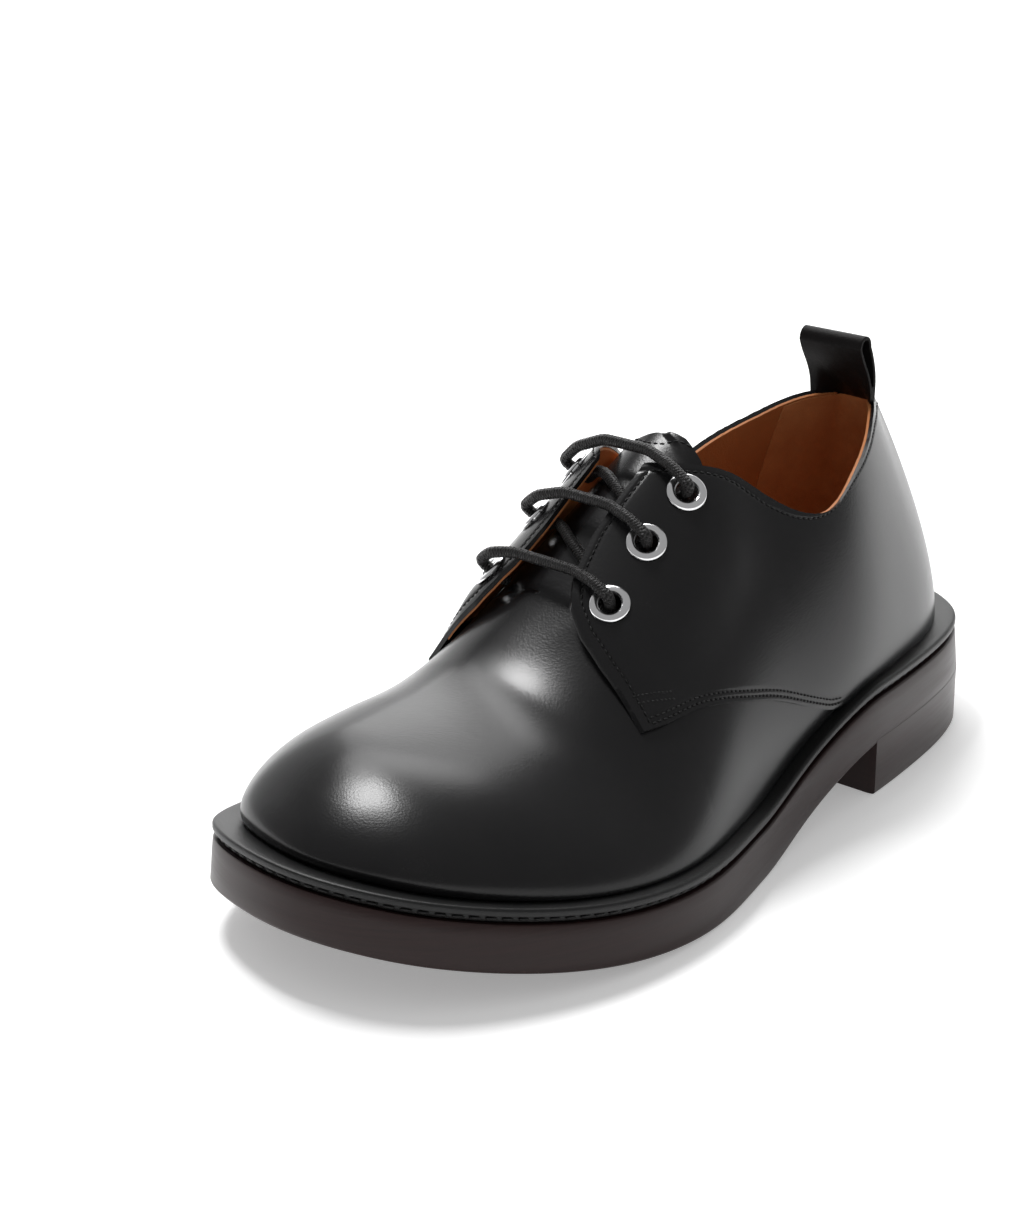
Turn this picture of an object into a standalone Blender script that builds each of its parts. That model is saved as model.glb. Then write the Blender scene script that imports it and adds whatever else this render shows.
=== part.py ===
"""A plain-toe derby shoe for the left foot, at its real size, built from its maker's pieces.

Lengths are in millimetres until the mesh is made. A point of the shoe is (x, station, height): x is
positive on the lateral side, the station runs from the back of the heel towards the toe, and the height
is over the floor. In the world the toe points to -Y and the origin lies under the middle of the sole.
"""
import math

import bpy
import bmesh
import numpy as np
from mathutils import Matrix, Vector

MM = 0.001
GAP = 0.3

# The sole
SOLE_LENGTH = 305.0
OUTSOLE_THICK = 14.4
WELT_THICK = 4.6
WELT_BREADTH = 14.0
GROOVE_DEEP = 1.8
GROOVE_TALL = 1.8
EDGE_FLARE = 1.2
HEEL_HEIGHT = 17.4
BREAST = 92.0
WAIST_BACK = 85.5
WAIST_FRONT = 164.0
BALL = 182.5
TOE_SPRING = 17.7

# The upper
WALL = 1.7
QUARTER_LAP = 1.3
FACING_THICK = 2.0
LASTING_MARGIN = 12.0
FACING_LIFT = 5.6
TONGUE_THICK = 2.4
TONGUE_SUNK = 1.2
INSOLE_THICK = 3.0
FILLER_GAP = 0.6

# The last has two ends about which its sections fan: over the heel seat and inside the toe
HEEL_POLE = 46.0
TOE_POLE = 258.0
POLE_EASE = 6.0

# One row a section from the heel's back to the toe's tip: station, the sole's lateral and medial edge,
# how far the welt stands out on each side, how far the upper bulges over its feather line on each side,
# how full its side and its crown are, and how far its top leans in
SECTIONS = np.array([
    # station, lateral, medial, welt lateral, welt medial, bulge lateral, bulge medial, side, crown, lean
    (0.0, -2.0, -2.0, 9.8, 9.8, 2.0, 2.0, 2.05, 1.42, 20.5),
    (3.5, 13.0, -16.5, 9.4, 9.6, 2.0, 2.1, 2.04, 1.41, 18.8),
    (16.0, 29.3, -30.0, 8.8, 9.0, 1.2, 2.2, 2.00, 1.38, 15.5),
    (38.0, 39.5, -37.0, 6.9, 7.8, 1.3, 2.4, 1.93, 1.33, 14.0),
    (66.0, 45.5, -38.5, 5.6, 7.0, 1.6, 2.4, 1.98, 1.50, 8.0),
    (98.0, 49.8, -38.0, 4.5, 6.1, 1.9, 2.0, 2.08, 1.74, 3.0),
    (131.0, 52.5, -40.0, 4.4, 5.2, 1.2, 2.4, 2.02, 1.66, 1.0),
    (165.0, 60.5, -47.0, 4.4, 4.7, 0.6, 3.0, 1.93, 1.53, 0.0),
    (200.0, 69.3, -53.5, 4.5, 4.5, 0.5, 4.0, 1.95, 1.52, 0.0),
    (234.0, 69.0, -54.5, 4.8, 4.5, 0.7, 4.6, 1.93, 1.62, 0.0),
    (262.0, 60.0, -51.0, 5.3, 5.4, 0.9, 3.8, 1.92, 1.77, 0.0),
    (284.0, 46.0, -43.0, 6.3, 7.8, 1.6, 2.0, 1.98, 1.87, 0.0),
    (298.0, 29.0, -28.0, 7.8, 9.2, 2.0, 1.6, 2.03, 1.93, 0.0),
    (305.0, 3.0, 3.0, 8.6, 8.6, 2.2, 2.2, 2.05, 1.95, 0.0)])

# The crown line of the last over the instep and the vamp: station, x, height
CROWN = np.array([
    (30.0, 2.0, 141.0), (60.0, 1.5, 150.0), (95.0, 1.0, 148.0), (130.0, 0.0, 129.0), (160.0, -1.5, 108.0),
    (190.0, -6.0, 81.5), (215.0, -11.0, 64.2), (240.0, -12.0, 59.8), (258.0, -10.5, 58.6),
    (290.0, -9.0, 54.0)])

# The collar's edge in side view: station, height
TOPLINE = np.array([
    (20.0, 112.0), (40.0, 112.4), (50.0, 112.2), (57.0, 110.8), (67.5, 107.3), (81.0, 103.4), (91.0, 99.8),
    (99.0, 96.2), (106.0, 94.7), (113.0, 95.0), (119.0, 96.2), (125.0, 99.1), (131.0, 103.8),
    (135.0, 108.4), (139.0, 112.0), (144.0, 114.2), (152.0, 116.5)])

# The lower edge of a quarter, from the heel's back: station, share of the way from feather to crown
QUARTER_FOOT = np.array([
    (0.0, 0.0), (60.0, 0.0), (108.0, 0.0), (121.0, 0.075), (143.0, 0.22), (163.0, 0.325), (180.0, 0.415),
    (193.0, 0.465), (200.5, 0.50)])

# The upper edge of a quarter, from the heel's back along the collar to the facing's top corner
QUARTER_TOP = np.array([
    (0.0, 0.60), (16.0, 0.60), (38.0, 0.575), (66.0, 0.50), (92.0, 0.425), (106.0, 0.41), (118.0, 0.468),
    (130.0, 0.572), (139.0, 0.70), (147.0, 0.83), (151.5, 0.905)])

# The front edge of a quarter, up from its corner over the ball to the facing's top corner
QUARTER_FRONT = np.array([
    (200.5, 0.50), (199.0, 0.59), (197.5, 0.685), (195.0, 0.775), (191.0, 0.84), (185.0, 0.88),
    (175.0, 0.902), (163.0, 0.905), (151.5, 0.905)])

# The tongue in plan: station, half breadth
TONGUE = np.array([
    (141.5, 3.0), (142.5, 9.0), (145.0, 14.5), (149.5, 19.0), (156.0, 21.5), (172.0, 20.0), (188.0, 16.5),
    (203.0, 13.0)])

# Eyelets from the top down: station, share of the way from feather to crown on each side
EYELETS = np.array([
    # station, lateral, medial
    (152.5, 0.755, 0.735), (168.5, 0.765, 0.745), (185.5, 0.755, 0.745)])
EYELET_HOLE = 3.6
EYELET_FLANGE = 6.1
EYELET_BARREL = 4.2

LACE_THICK = 3.2
LACE_OVER_TONGUE = 2.2

# The pull loop in side view: height, station of its back face, station of its front face
PULL_LOOP = np.array([
    (112.7, 42.9, 45.5), (117.5, 43.8, 47.2), (123.5, 45.1, 50.4), (128.5, 46.7, 53.2),
    (131.0, 47.8, 54.2)])
LOOP_BREADTH = 24.0
LOOP_STRAP = 1.2
LOOP_CAP = 4.0

AROUND = 104
RISERS = 13


def ease(start, end, value):
    """A smooth step from 0 at start to 1 at end."""
    t = np.clip((value - start) / (end - start), 0.0, 1.0)
    return t * t * (3.0 - 2.0 * t)


def natural_curve(xs, ys, x):
    """The natural cubic through the points (xs, ys), read at x."""
    count = len(xs)
    step = np.diff(xs)
    matrix = np.zeros((count, count))
    right = np.zeros(count)
    matrix[0, 0] = matrix[-1, -1] = 1.0
    for i in range(1, count - 1):
        matrix[i, i - 1:i + 2] = step[i - 1], 2.0 * (step[i - 1] + step[i]), step[i]
        right[i] = 6.0 * ((ys[i + 1] - ys[i]) / step[i] - (ys[i] - ys[i - 1]) / step[i - 1])
    bend = np.linalg.solve(matrix, right)
    k = np.clip(np.searchsorted(xs, x) - 1, 0, count - 2)
    t = x - xs[k]
    h = step[k]
    slope = (ys[k + 1] - ys[k]) / h - h * (2.0 * bend[k] + bend[k + 1]) / 6.0
    return ys[k] + t * slope + t * t * bend[k] / 2.0 + t ** 3 * (bend[k + 1] - bend[k]) / (6.0 * h)


def around_shoe(u):
    """The section table read round the shoe: u is 0 at the heel's back, 0 to 0.5 along the lateral side to
    the toe and 0.5 to 1 back along the medial side, on one closed cubic."""
    lateral = SECTIONS[:, [0, 1, 3, 5, 7, 8, 9]]
    medial = SECTIONS[:, [0, 2, 4, 6, 7, 8, 9]]
    rows = np.concatenate([lateral, medial[-2:0:-1]])
    count = len(rows)
    matrix = 4.0 * np.eye(count) + np.roll(np.eye(count), 1, 1) + np.roll(np.eye(count), -1, 1)
    slope = np.linalg.solve(matrix, 3.0 * (np.roll(rows, -1, 0) - np.roll(rows, 1, 0)))
    t = (np.asarray(u, float) % 1.0) * count
    i = np.floor(t).astype(int) % count
    j = (i + 1) % count
    t = (t - np.floor(t))[..., None]
    return (rows[i] * (1 + 2 * t) * (1 - t) ** 2 + slope[i] * t * (1 - t) ** 2
            + rows[j] * t * t * (3 - 2 * t) + slope[j] * t * t * (t - 1))


def rise(station):
    """How high the outsole's underside stands over the floor: flat under the ball, up to the toe by the
    toe spring, and up through the waist to the top of the heel."""
    toe = np.clip((station - BALL) / (SOLE_LENGTH - BALL), 0.0, None)
    return TOE_SPRING * toe ** 2 + HEEL_HEIGHT * (1.0 - ease(WAIST_BACK, WAIST_FRONT, station))


def edge(u, inset):
    """The plan point (x, station) that lies the inset inside the sole's edge."""
    row = around_shoe(u)
    along = around_shoe(np.asarray(u) + 1e-4) - around_shoe(np.asarray(u) - 1e-4)
    out = np.stack([along[..., 0], -along[..., 1]], -1)
    out /= np.linalg.norm(out, axis=-1)[..., None]
    return row[..., 1] - out[..., 0] * inset, row[..., 0] - out[..., 1] * inset


def spine(station):
    """The plan point towards which a section at this station runs: its own station along the shoe, and
    the heel's or the toe's pole past them."""
    low = np.logaddexp(0.0, (station - HEEL_POLE) / POLE_EASE)
    high = np.logaddexp(0.0, (station - TOE_POLE) / POLE_EASE)
    s = HEEL_POLE + POLE_EASE * (low - high)
    return np.interp(s, CROWN[:, 0], CROWN[:, 1]), s


def last_form(u, share, grow=0.0):
    """A point of the last's surface. The share goes from the feather line at 0 to the crown at 1. Each
    section is a superellipse from its feather point to the crown line, plus a bulge over the feather
    line and a lean of its top. A grow above 0 gives the parallel form that lies outside by as much."""
    u, share = np.broadcast_arrays(np.asarray(u, float), np.asarray(share, float))
    row = around_shoe(u)
    fx, fs = edge(u, row[..., 2] - grow)
    mirror = around_shoe(-u)
    other = edge(-u, mirror[..., 2] - grow)[1]
    px, ps = spine((fs + other) / 2.0)
    floor = rise(fs) + OUTSOLE_THICK + WELT_THICK + GAP + max(0.0, -grow)
    angle = share * math.pi / 2.0
    inward = 1.0 - np.maximum(np.cos(angle), 1e-12) ** (2.0 / row[..., 4])
    up = np.sin(angle) ** (2.0 / row[..., 5])
    reach = np.hypot(px - fx, ps - fs)
    bulge = row[..., 3] * 3.6 * np.clip(2.25 * up, 0.0, 1.6) * np.exp(-3.15 * up) * np.cos(angle)
    lean = row[..., 6] * np.clip(1.2 * up, 0.0, 1.3) ** 1.4 * (1.0 - ease(0.62, 0.92, share))
    part = inward + (lean - bulge) / reach
    x = fx + (px - fx) * part
    s = fs + (ps - fs) * part
    z = floor + (natural_curve(CROWN[:, 0], CROWN[:, 2], s) + grow - floor) * up
    return np.stack([x, s, z], -1)


def around_at(station, side):
    """The place round the shoe of a section at the given station, side +1 for lateral, -1 for medial."""
    u = np.linspace(0.0, 0.5, 400)
    place = np.interp(station, around_shoe(u)[:, 0], u)
    return place if side > 0 else 1.0 - place


def facing_lift(station, share):
    """How far a quarter stands off the vamp and tongue beside the throat."""
    along = ease(122.0, 150.0, station) * (1.0 - ease(188.0, 206.0, station))
    return FACING_LIFT * along * ease(0.42, 0.70, share)


def normals(grid):
    """Unit normals of a grid of points, out of the shoe."""
    normal = np.cross(np.gradient(grid, axis=1), np.gradient(grid, axis=0))
    normal /= np.linalg.norm(normal, axis=-1)[..., None]
    middle = np.array([5.0, 150.0, 55.0])
    return normal * np.sign(((grid - middle) * normal).sum())


def quarter_form(u, share, grow):
    """The quarters' surface: the last's form, lifted beside the throat along its own normals."""
    lift = facing_lift(around_shoe(u)[..., 0], share)
    return last_form(u, share, grow) + normals(last_form(u, share)) * lift[..., None]


def plan_middle():
    """The middle of the sole's breadth, over which the origin lies."""
    x = edge(np.linspace(0.0, 1.0, 2000), 0.0)[0]
    return (x.min() + x.max()) / 2.0


MIDDLE = plan_middle()


def to_world(points):
    """World coordinates in metres of points (x, station, height) in millimetres."""
    points = np.asarray(points, float)
    world = [points[..., 0] - MIDDLE, SOLE_LENGTH / 2.0 - points[..., 1], points[..., 2]]
    return np.stack(world, -1) * MM


def collection(name):
    made = bpy.data.collections.new(name)
    bpy.context.scene.collection.children.link(made)
    return made


def material(name, colour, roughness, metallic=0.0):
    made = bpy.data.materials.new(name)
    made.use_nodes = True
    shader = made.node_tree.nodes["Principled BSDF"]
    shader.inputs["Base Color"].default_value = (*colour, 1.0)
    shader.inputs["Roughness"].default_value = roughness
    shader.inputs["Metallic"].default_value = metallic
    made.diffuse_color = (*colour, 1.0)
    return made


def add_mesh(name, vertices, faces, folder, finish=None, sharp=40.0):
    """One object from world points and faces, its doubles merged and its faces turned outwards."""
    mesh = bpy.data.meshes.new(name)
    build = bmesh.new()
    corners = [build.verts.new(v) for v in vertices]
    for face in faces:
        if len(set(face)) > 2:
            build.faces.new([corners[k] for k in face])
    bmesh.ops.remove_doubles(build, verts=build.verts, dist=0.00001)
    bmesh.ops.dissolve_degenerate(build, edges=build.edges, dist=0.00001)
    bmesh.ops.recalc_face_normals(build, faces=build.faces)
    build.to_mesh(mesh)
    build.free()
    mesh.shade_smooth()
    mesh.set_sharp_from_angle(angle=math.radians(sharp))
    made = bpy.data.objects.new(name, mesh)
    folder.objects.link(made)
    if finish is not None:
        mesh.materials.append(finish)
    else:
        made.hide_render = True
        made.display_type = "WIRE"
    return made


def loft_rings(rings, skip=(), join_ends=False):
    """Vertices and faces of closed rings of equal count, each joined to the next but after a skipped one."""
    rings = [np.asarray(r) for r in rings]
    count = len(rings[0])
    pairs = [(i, i + 1) for i in range(len(rings) - 1) if i not in skip]
    if join_ends:
        pairs.append((len(rings) - 1, 0))
    faces = []
    for a, b in pairs:
        for k in range(count):
            n = (k + 1) % count
            faces.append((a * count + k, a * count + n, b * count + n, b * count + k))
    return np.concatenate(rings), faces


def slab(outer, inner):
    """Vertices and faces of the closed solid between two grids of equal size."""
    rows, cols = outer.shape[:2]
    points = np.concatenate([outer.reshape(-1, 3), inner.reshape(-1, 3)])
    base = rows * cols
    faces = []
    for i in range(rows - 1):
        for j in range(cols - 1):
            a = i * cols + j
            faces.append((a, a + 1, a + cols + 1, a + cols))
            faces.append((base + a, base + a + cols, base + a + cols + 1, base + a + 1))
    rim = [(0, j) for j in range(cols)] + [(i, cols - 1) for i in range(1, rows)]
    rim += [(rows - 1, j) for j in range(cols - 2, -1, -1)] + [(i, 0) for i in range(rows - 2, 0, -1)]
    rim = [i * cols + j for i, j in rim]
    for a, b in zip(rim, rim[1:] + rim[:1]):
        faces.append((b, a, base + a, base + b))
    return points, faces


def prism(name, outline, axis, low, high, folder):
    """A cutter: an outline of plan or side points, extruded along the axis that it leaves out."""
    layers = []
    for level in (low, high):
        layers.append([tuple(np.insert(point, axis, level)) for point in outline])
    count = len(outline)
    vertices = to_world(np.array(layers[0] + layers[1]))
    faces = [tuple(range(count)), tuple(range(2 * count - 1, count - 1, -1))]
    for k in range(count):
        n = (k + 1) % count
        faces.append((k, n, count + n, count + k))
    return add_mesh(name, vertices, faces, folder)


def bake(target, cutter, operation):
    """Apply one Boolean to the target, keep the result as its mesh and drop the cutter."""
    modifier = target.modifiers.new(operation.lower(), "BOOLEAN")
    modifier.operation = operation
    modifier.object = cutter
    modifier.solver = "EXACT"
    bpy.context.view_layer.update()
    evaluated = target.evaluated_get(bpy.context.evaluated_depsgraph_get())
    mesh = bpy.data.meshes.new_from_object(evaluated)
    old = target.data
    target.modifiers.clear()
    target.data = mesh
    mesh.name = old.name
    bpy.data.meshes.remove(old)
    bpy.data.objects.remove(cutter)
    return target


def plate_ring(inset, height):
    """A ring that follows the sole's rise, inset from its edge."""
    u = np.arange(AROUND) / AROUND
    x, s = edge(u, inset)
    return to_world(np.stack([x, s, rise(s) + height], -1))


def plate_spine(height):
    """The closing ring of a plate, doubled along the middle of the shoe."""
    u = np.arange(AROUND) / AROUND
    x, s = spine((edge(u, 0.0)[1] + edge(-u, 0.0)[1]) / 2.0)
    return to_world(np.stack([x, s, rise(s) + height], -1))


def plate(name, rows, folder, finish):
    """A plate from rows of (inset, height), from its top's middle round its edge to its underside."""
    rings = [plate_spine(rows[0][1])]
    rings += [plate_ring(inset, height) for inset, height in rows]
    rings.append(plate_spine(rows[-1][1]))
    vertices, faces = loft_rings(rings)
    return add_mesh(name, vertices, faces, folder, finish)


def make_outsole(parts, finish):
    top = OUTSOLE_THICK
    rows = [(30.0, top), (15.0, top), (0.4, top), (0.0, top - 0.5), (-EDGE_FLARE, 0.6), (-EDGE_FLARE + 0.6, 0.0),
            (15.0, 0.0), (30.0, 0.0)]
    return plate("outsole", rows, parts, finish)


def make_heel(parts, cutters, finish):
    """The stacked heel: its top follows the outsole, its foot is flat and its breast is cut straight."""
    heel = plate("heel", [(30.0, -GAP), (0.6 - EDGE_FLARE, -GAP), (-EDGE_FLARE, -GAP - 0.6), (-EDGE_FLARE, -60.0),
                          (30.0, -60.0)], parts, finish)
    height = np.array([v.co.z for v in heel.data.vertices])
    for vertex, z in zip(heel.data.vertices, height):
        if z < -0.02:
            vertex.co.z = 0.0
    outline = [(-20.0, -10.0), (BREAST, -10.0), (BREAST, 40.0), (-20.0, 40.0)]
    return bake(heel, prism("breast_cutter", outline, 0, -120.0, 120.0, cutters), "INTERSECT")


def make_welt(parts, finish):
    """The welt: a flat strip with a rounded shoulder, over the stitched groove."""
    low = OUTSOLE_THICK + GAP
    top = OUTSOLE_THICK + WELT_THICK
    rows = [(WELT_BREADTH, low), (GROOVE_DEEP, low), (GROOVE_DEEP, low + GROOVE_TALL), (0.2, low + GROOVE_TALL),
            (0.0, low + GROOVE_TALL + 0.4), (0.2, top - 0.9), (1.3, top), (WELT_BREADTH, top)]
    vertices, faces = loft_rings([plate_ring(inset, height) for inset, height in rows], join_ends=True)
    return add_mesh("welt", vertices, faces, parts, finish)


def feather_ring(inset, height):
    """A ring inside the upper's feather line, over the welt's top."""
    u = np.arange(AROUND) / AROUND
    x, s = edge(u, around_shoe(u)[:, 2] + inset)
    return to_world(np.stack([x, s, rise(s) + OUTSOLE_THICK + WELT_THICK + height], -1))


def make_insole(parts, finish):
    """The foot bed on the lasting margin, with the filler under it that the margin frames."""
    seat = GAP + WALL + GAP
    fill = LASTING_MARGIN + 0.5
    rings = [plate_spine(OUTSOLE_THICK + WELT_THICK + seat + INSOLE_THICK)]
    rings += [feather_ring(inset, height) for inset, height in (
        (20.0, seat + INSOLE_THICK), (WALL + 1.4, seat + INSOLE_THICK), (WALL + 0.8, seat + INSOLE_THICK - 0.6),
        (WALL + 0.8, seat), (fill, seat), (fill, FILLER_GAP - WELT_THICK), (20.0, FILLER_GAP - WELT_THICK))]
    rings.append(plate_spine(OUTSOLE_THICK + FILLER_GAP))
    vertices, faces = loft_rings(rings)
    return add_mesh("insole", vertices, faces, parts, finish)


def make_shell(parts, finish):
    """The vamp's level of the upper: lasting margin, wall and crown, still closed over the foot."""
    u = np.arange(AROUND) / AROUND
    shares = np.linspace(0.0, 1.0, RISERS) ** 1.05
    rings = [feather_ring(LASTING_MARGIN, GAP)]
    rings += [to_world(last_form(u, share)) for share in shares]
    crown = len(rings) - 1
    rings += [to_world(last_form(u, share, -WALL)) for share in shares[::-1]]
    rings.append(feather_ring(LASTING_MARGIN, GAP + WALL))
    vertices, faces = loft_rings(rings, skip=(crown,), join_ends=True)
    return add_mesh("upper", vertices, faces, parts, finish)


def quarter_patch():
    """Places of one quarter as a grid of (round, share), from the heel's back to the front edge and from
    its foot to its collar: the foot and the collar are blended, and the front edge bends the blend."""
    i = np.linspace(0.0, 1.0, 31)[None, :]
    j = np.linspace(0.0, 1.0, 10)[:, None]
    foot_u = i * around_at(QUARTER_FOOT[-1, 0], 1)
    top_u = i * around_at(QUARTER_TOP[-1, 0], 1)
    station = around_shoe(foot_u)[..., 0]
    foot = np.stack([foot_u, np.interp(station, QUARTER_FOOT[:, 0], QUARTER_FOOT[:, 1])], -1)
    station = around_shoe(top_u)[..., 0]
    top = np.stack([top_u, np.interp(station, QUARTER_TOP[:, 0], QUARTER_TOP[:, 1])], -1)
    front_u = around_at(QUARTER_FRONT[:, 0], 1)
    step = np.hypot(np.diff(front_u) * 8.0, np.diff(QUARTER_FRONT[:, 1]))
    run = np.concatenate([[0.0], np.cumsum(step)]) / step.sum()
    front = np.stack([np.interp(j, run, front_u), np.interp(j, run, QUARTER_FRONT[:, 1])], -1)
    up = j[..., None]
    blend = foot * (1.0 - up) + top * up
    return blend + (front - blend[:, -1:]) * (i ** 2)[..., None]


def make_quarters(cutters):
    """The quarters' layer over the shell, round the heel from one front edge to the other."""
    half = quarter_patch()
    mirrored = half[:, :0:-1] * np.array([-1.0, 1.0])
    place = np.concatenate([mirrored, half], 1)
    outer = quarter_form(place[..., 0], place[..., 1], QUARTER_LAP)
    inner = quarter_form(place[..., 0], place[..., 1], QUARTER_LAP - FACING_THICK)
    vertices, faces = slab(to_world(outer), to_world(inner))
    return add_mesh("quarters_layer", vertices, faces, cutters)


def tongue_outline(spread, front):
    """The tongue's outline in plan, widened by the spread and ending at the front station."""
    station = np.append(TONGUE[:-1, 0], front)
    half = TONGUE[:, 1] + spread
    middle = np.interp(station, CROWN[:, 0], CROWN[:, 1])
    left = np.stack([middle - half, station], -1)
    right = np.stack([middle + half, station], -1)[::-1]
    return np.concatenate([left, right])


def eyelet_frames():
    """Name, place and outward direction of each eyelet on the facings, in the shoe's own coordinates."""
    frames = []
    for side, word, column in ((1, "lateral", 1), (-1, "medial", 2)):
        for number, (station, share) in enumerate(EYELETS[:, [0, column]], 1):
            near = np.array([-2.0, 0.0, 2.0])
            stations = station + near[None, :] + np.zeros((3, 1))
            shares = share + near[:, None] * 0.012 + np.zeros((1, 3))
            u = around_at(stations, side)
            grid = quarter_form(u, shares, QUARTER_LAP)
            frames.append((f"eyelet_{word}_{number}", grid[1, 1], normals(grid)[1, 1]))
    return frames


def turn_to(point, direction):
    """The matrix that takes +Z to an outward direction at a point of the shoe."""
    world_direction = Vector((direction[0], -direction[1], direction[2]))
    turned = world_direction.to_track_quat("Z", "Y").to_matrix().to_4x4()
    return Matrix.Translation(Vector(to_world(point))) @ turned


def make_upper(parts, cutters, finish):
    """Vamp, quarters and lasting margin as one hollow wall with the quarters as a step in it."""
    upper = make_shell(parts, finish)
    slot = tongue_outline(GAP, TONGUE[-1, 0] + GAP)
    bake(upper, prism("throat_cutter", slot, 2, 60.0, 160.0, cutters), "DIFFERENCE")
    bake(upper, make_quarters(cutters), "UNION")
    collar = [(-15.0, 190.0), (-15.0, TOPLINE[0, 1])] + [(s, z) for s, z in TOPLINE]
    collar += [(TOPLINE[-1, 0], 190.0)]
    bake(upper, prism("collar_cutter", collar, 0, -90.0, 90.0, cutters), "DIFFERENCE")
    for name, point, direction in eyelet_frames():
        bpy.ops.mesh.primitive_cylinder_add(vertices=24, radius=(EYELET_BARREL + GAP) * MM, depth=0.009)
        drill = bpy.context.object
        drill.name = name + "_drill"
        drill.data.transform(turn_to(point, direction))
        bake(upper, drill, "DIFFERENCE")
    return upper


def make_tongue(parts, cutters, finish):
    """The tongue: cut from the last's own form inside the throat."""
    stations = np.linspace(204.5, 134.0, 22)
    shares = np.linspace(0.60, 1.0, 9)
    halves = []
    for grow in (-TONGUE_SUNK, -TONGUE_SUNK - TONGUE_THICK):
        sides = []
        for side in (1, -1):
            u = around_at(stations, side)[:, None]
            sides.append(last_form(u, shares[None, :], grow))
        halves.append(np.concatenate([sides[0], sides[1][:, -2::-1]], 1))
    vertices, faces = slab(to_world(halves[0]), to_world(halves[1]))
    tongue = add_mesh("tongue", vertices, faces, parts, finish)
    outline = tongue_outline(0.0, TONGUE[-1, 0])
    return bake(tongue, prism("tongue_cutter", outline, 2, 40.0, 180.0, cutters), "INTERSECT")


def collar_back(x):
    """The station of the middle of the collar's wall at its top, a little to each side of the heel seam."""
    u = np.linspace(-0.12, 0.12, 121)
    shares = np.linspace(0.3, 0.8, 101)
    grid = last_form(u[:, None], shares[None, :], (QUARTER_LAP - WALL) / 2.0)
    over = grid[..., 2] - np.interp(grid[..., 1], TOPLINE[:, 0], TOPLINE[:, 1])
    top = grid[np.arange(len(u)), np.argmin(np.abs(over), axis=1)]
    return np.interp(x, top[:, 0], top[:, 1])


def loop_outline(inset):
    """The pull loop's outline in side view, inset from its faces, up its back and down its front."""
    rows = PULL_LOOP[1:] if inset > 0.0 else PULL_LOOP
    back = np.stack([rows[:, 1] + inset, rows[:, 0]], -1)
    front = np.stack([rows[:, 2] - inset, rows[:, 0]], -1)
    if inset > 0.0:
        back[0, 0] = front[0, 0] = (back[0, 0] + front[0, 0]) / 2.0
        back[0, 0] -= 0.1
        front[0, 0] += 0.1
    middle = (back[-1] + front[-1]) / 2.0
    half = (front[-1, 0] - back[-1, 0]) / 2.0
    angle = np.linspace(math.pi, 0.0, 12 if inset == 0.0 else 14)[1:-1]
    cap = np.stack([middle[0] + half * np.cos(angle), middle[1] + (LOOP_CAP - inset) * np.sin(angle)], -1)
    return np.concatenate([back, cap, front[::-1]])


def make_pull_loop(parts, finish):
    """The pull loop: a strap folded over, its foot curved along the collar's back and its fold straight."""
    outer = loop_outline(0.0)
    inner = loop_outline(LOOP_STRAP)
    levels = np.linspace(-LOOP_BREADTH / 2.0, LOOP_BREADTH / 2.0, 7)
    foot = PULL_LOOP[0]

    def layer(outline, x):
        fade = (1.0 - np.clip((outline[:, 1] - foot[0]) / 14.0, 0.0, 1.0)) ** 2
        shift = collar_back(x) - (foot[1] + foot[2]) / 2.0
        return to_world(np.stack([outline[:, 0] * 0.0 + x, outline[:, 0] + shift * fade, outline[:, 1]], -1))

    rings = [layer(outer, x) for x in levels] + [layer(inner, x) for x in levels[::-1]]
    vertices, faces = loft_rings(rings, join_ends=True)
    return add_mesh("pull_loop", vertices, faces, parts, finish, 50.0)


def make_eyelets(parts, finish):
    """Six turned eyelets: a rounded flange on the facing and a barrel through it."""
    made = []
    profile = [(EYELET_HOLE, -FACING_THICK - 0.6), (EYELET_HOLE, 0.8), (EYELET_HOLE + 0.5, 1.35),
               (EYELET_FLANGE - 0.8, 1.35), (EYELET_FLANGE, 0.9), (EYELET_FLANGE, 0.6), (EYELET_BARREL, 0.6),
               (EYELET_BARREL, -FACING_THICK - 0.6)]
    count = 24
    angles = np.arange(count) * 2.0 * math.pi / count
    for name, point, direction in eyelet_frames():
        rings = [np.stack([r * np.cos(angles), r * np.sin(angles), np.full(count, z)], -1) * MM for r, z in profile]
        vertices, faces = loft_rings(rings, join_ends=True)
        place = turn_to(point, direction)
        vertices = [place @ Vector(v) for v in vertices]
        made.append(add_mesh(name, vertices, faces, parts, finish))
    return made


def facing_edge(station, side):
    """The front edge of a facing at the given station, on its outer surface."""
    near = np.array([-2.0, 0.0, 2.0])
    u = around_at(station + near[None, :] + np.zeros((3, 1)), side)
    share = np.interp(station, QUARTER_FRONT[::-1, 0], QUARTER_FRONT[::-1, 1])
    return quarter_form(u, share + near[:, None] * 0.005 + np.zeros((1, 3)), QUARTER_LAP)[1, 1]


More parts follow.
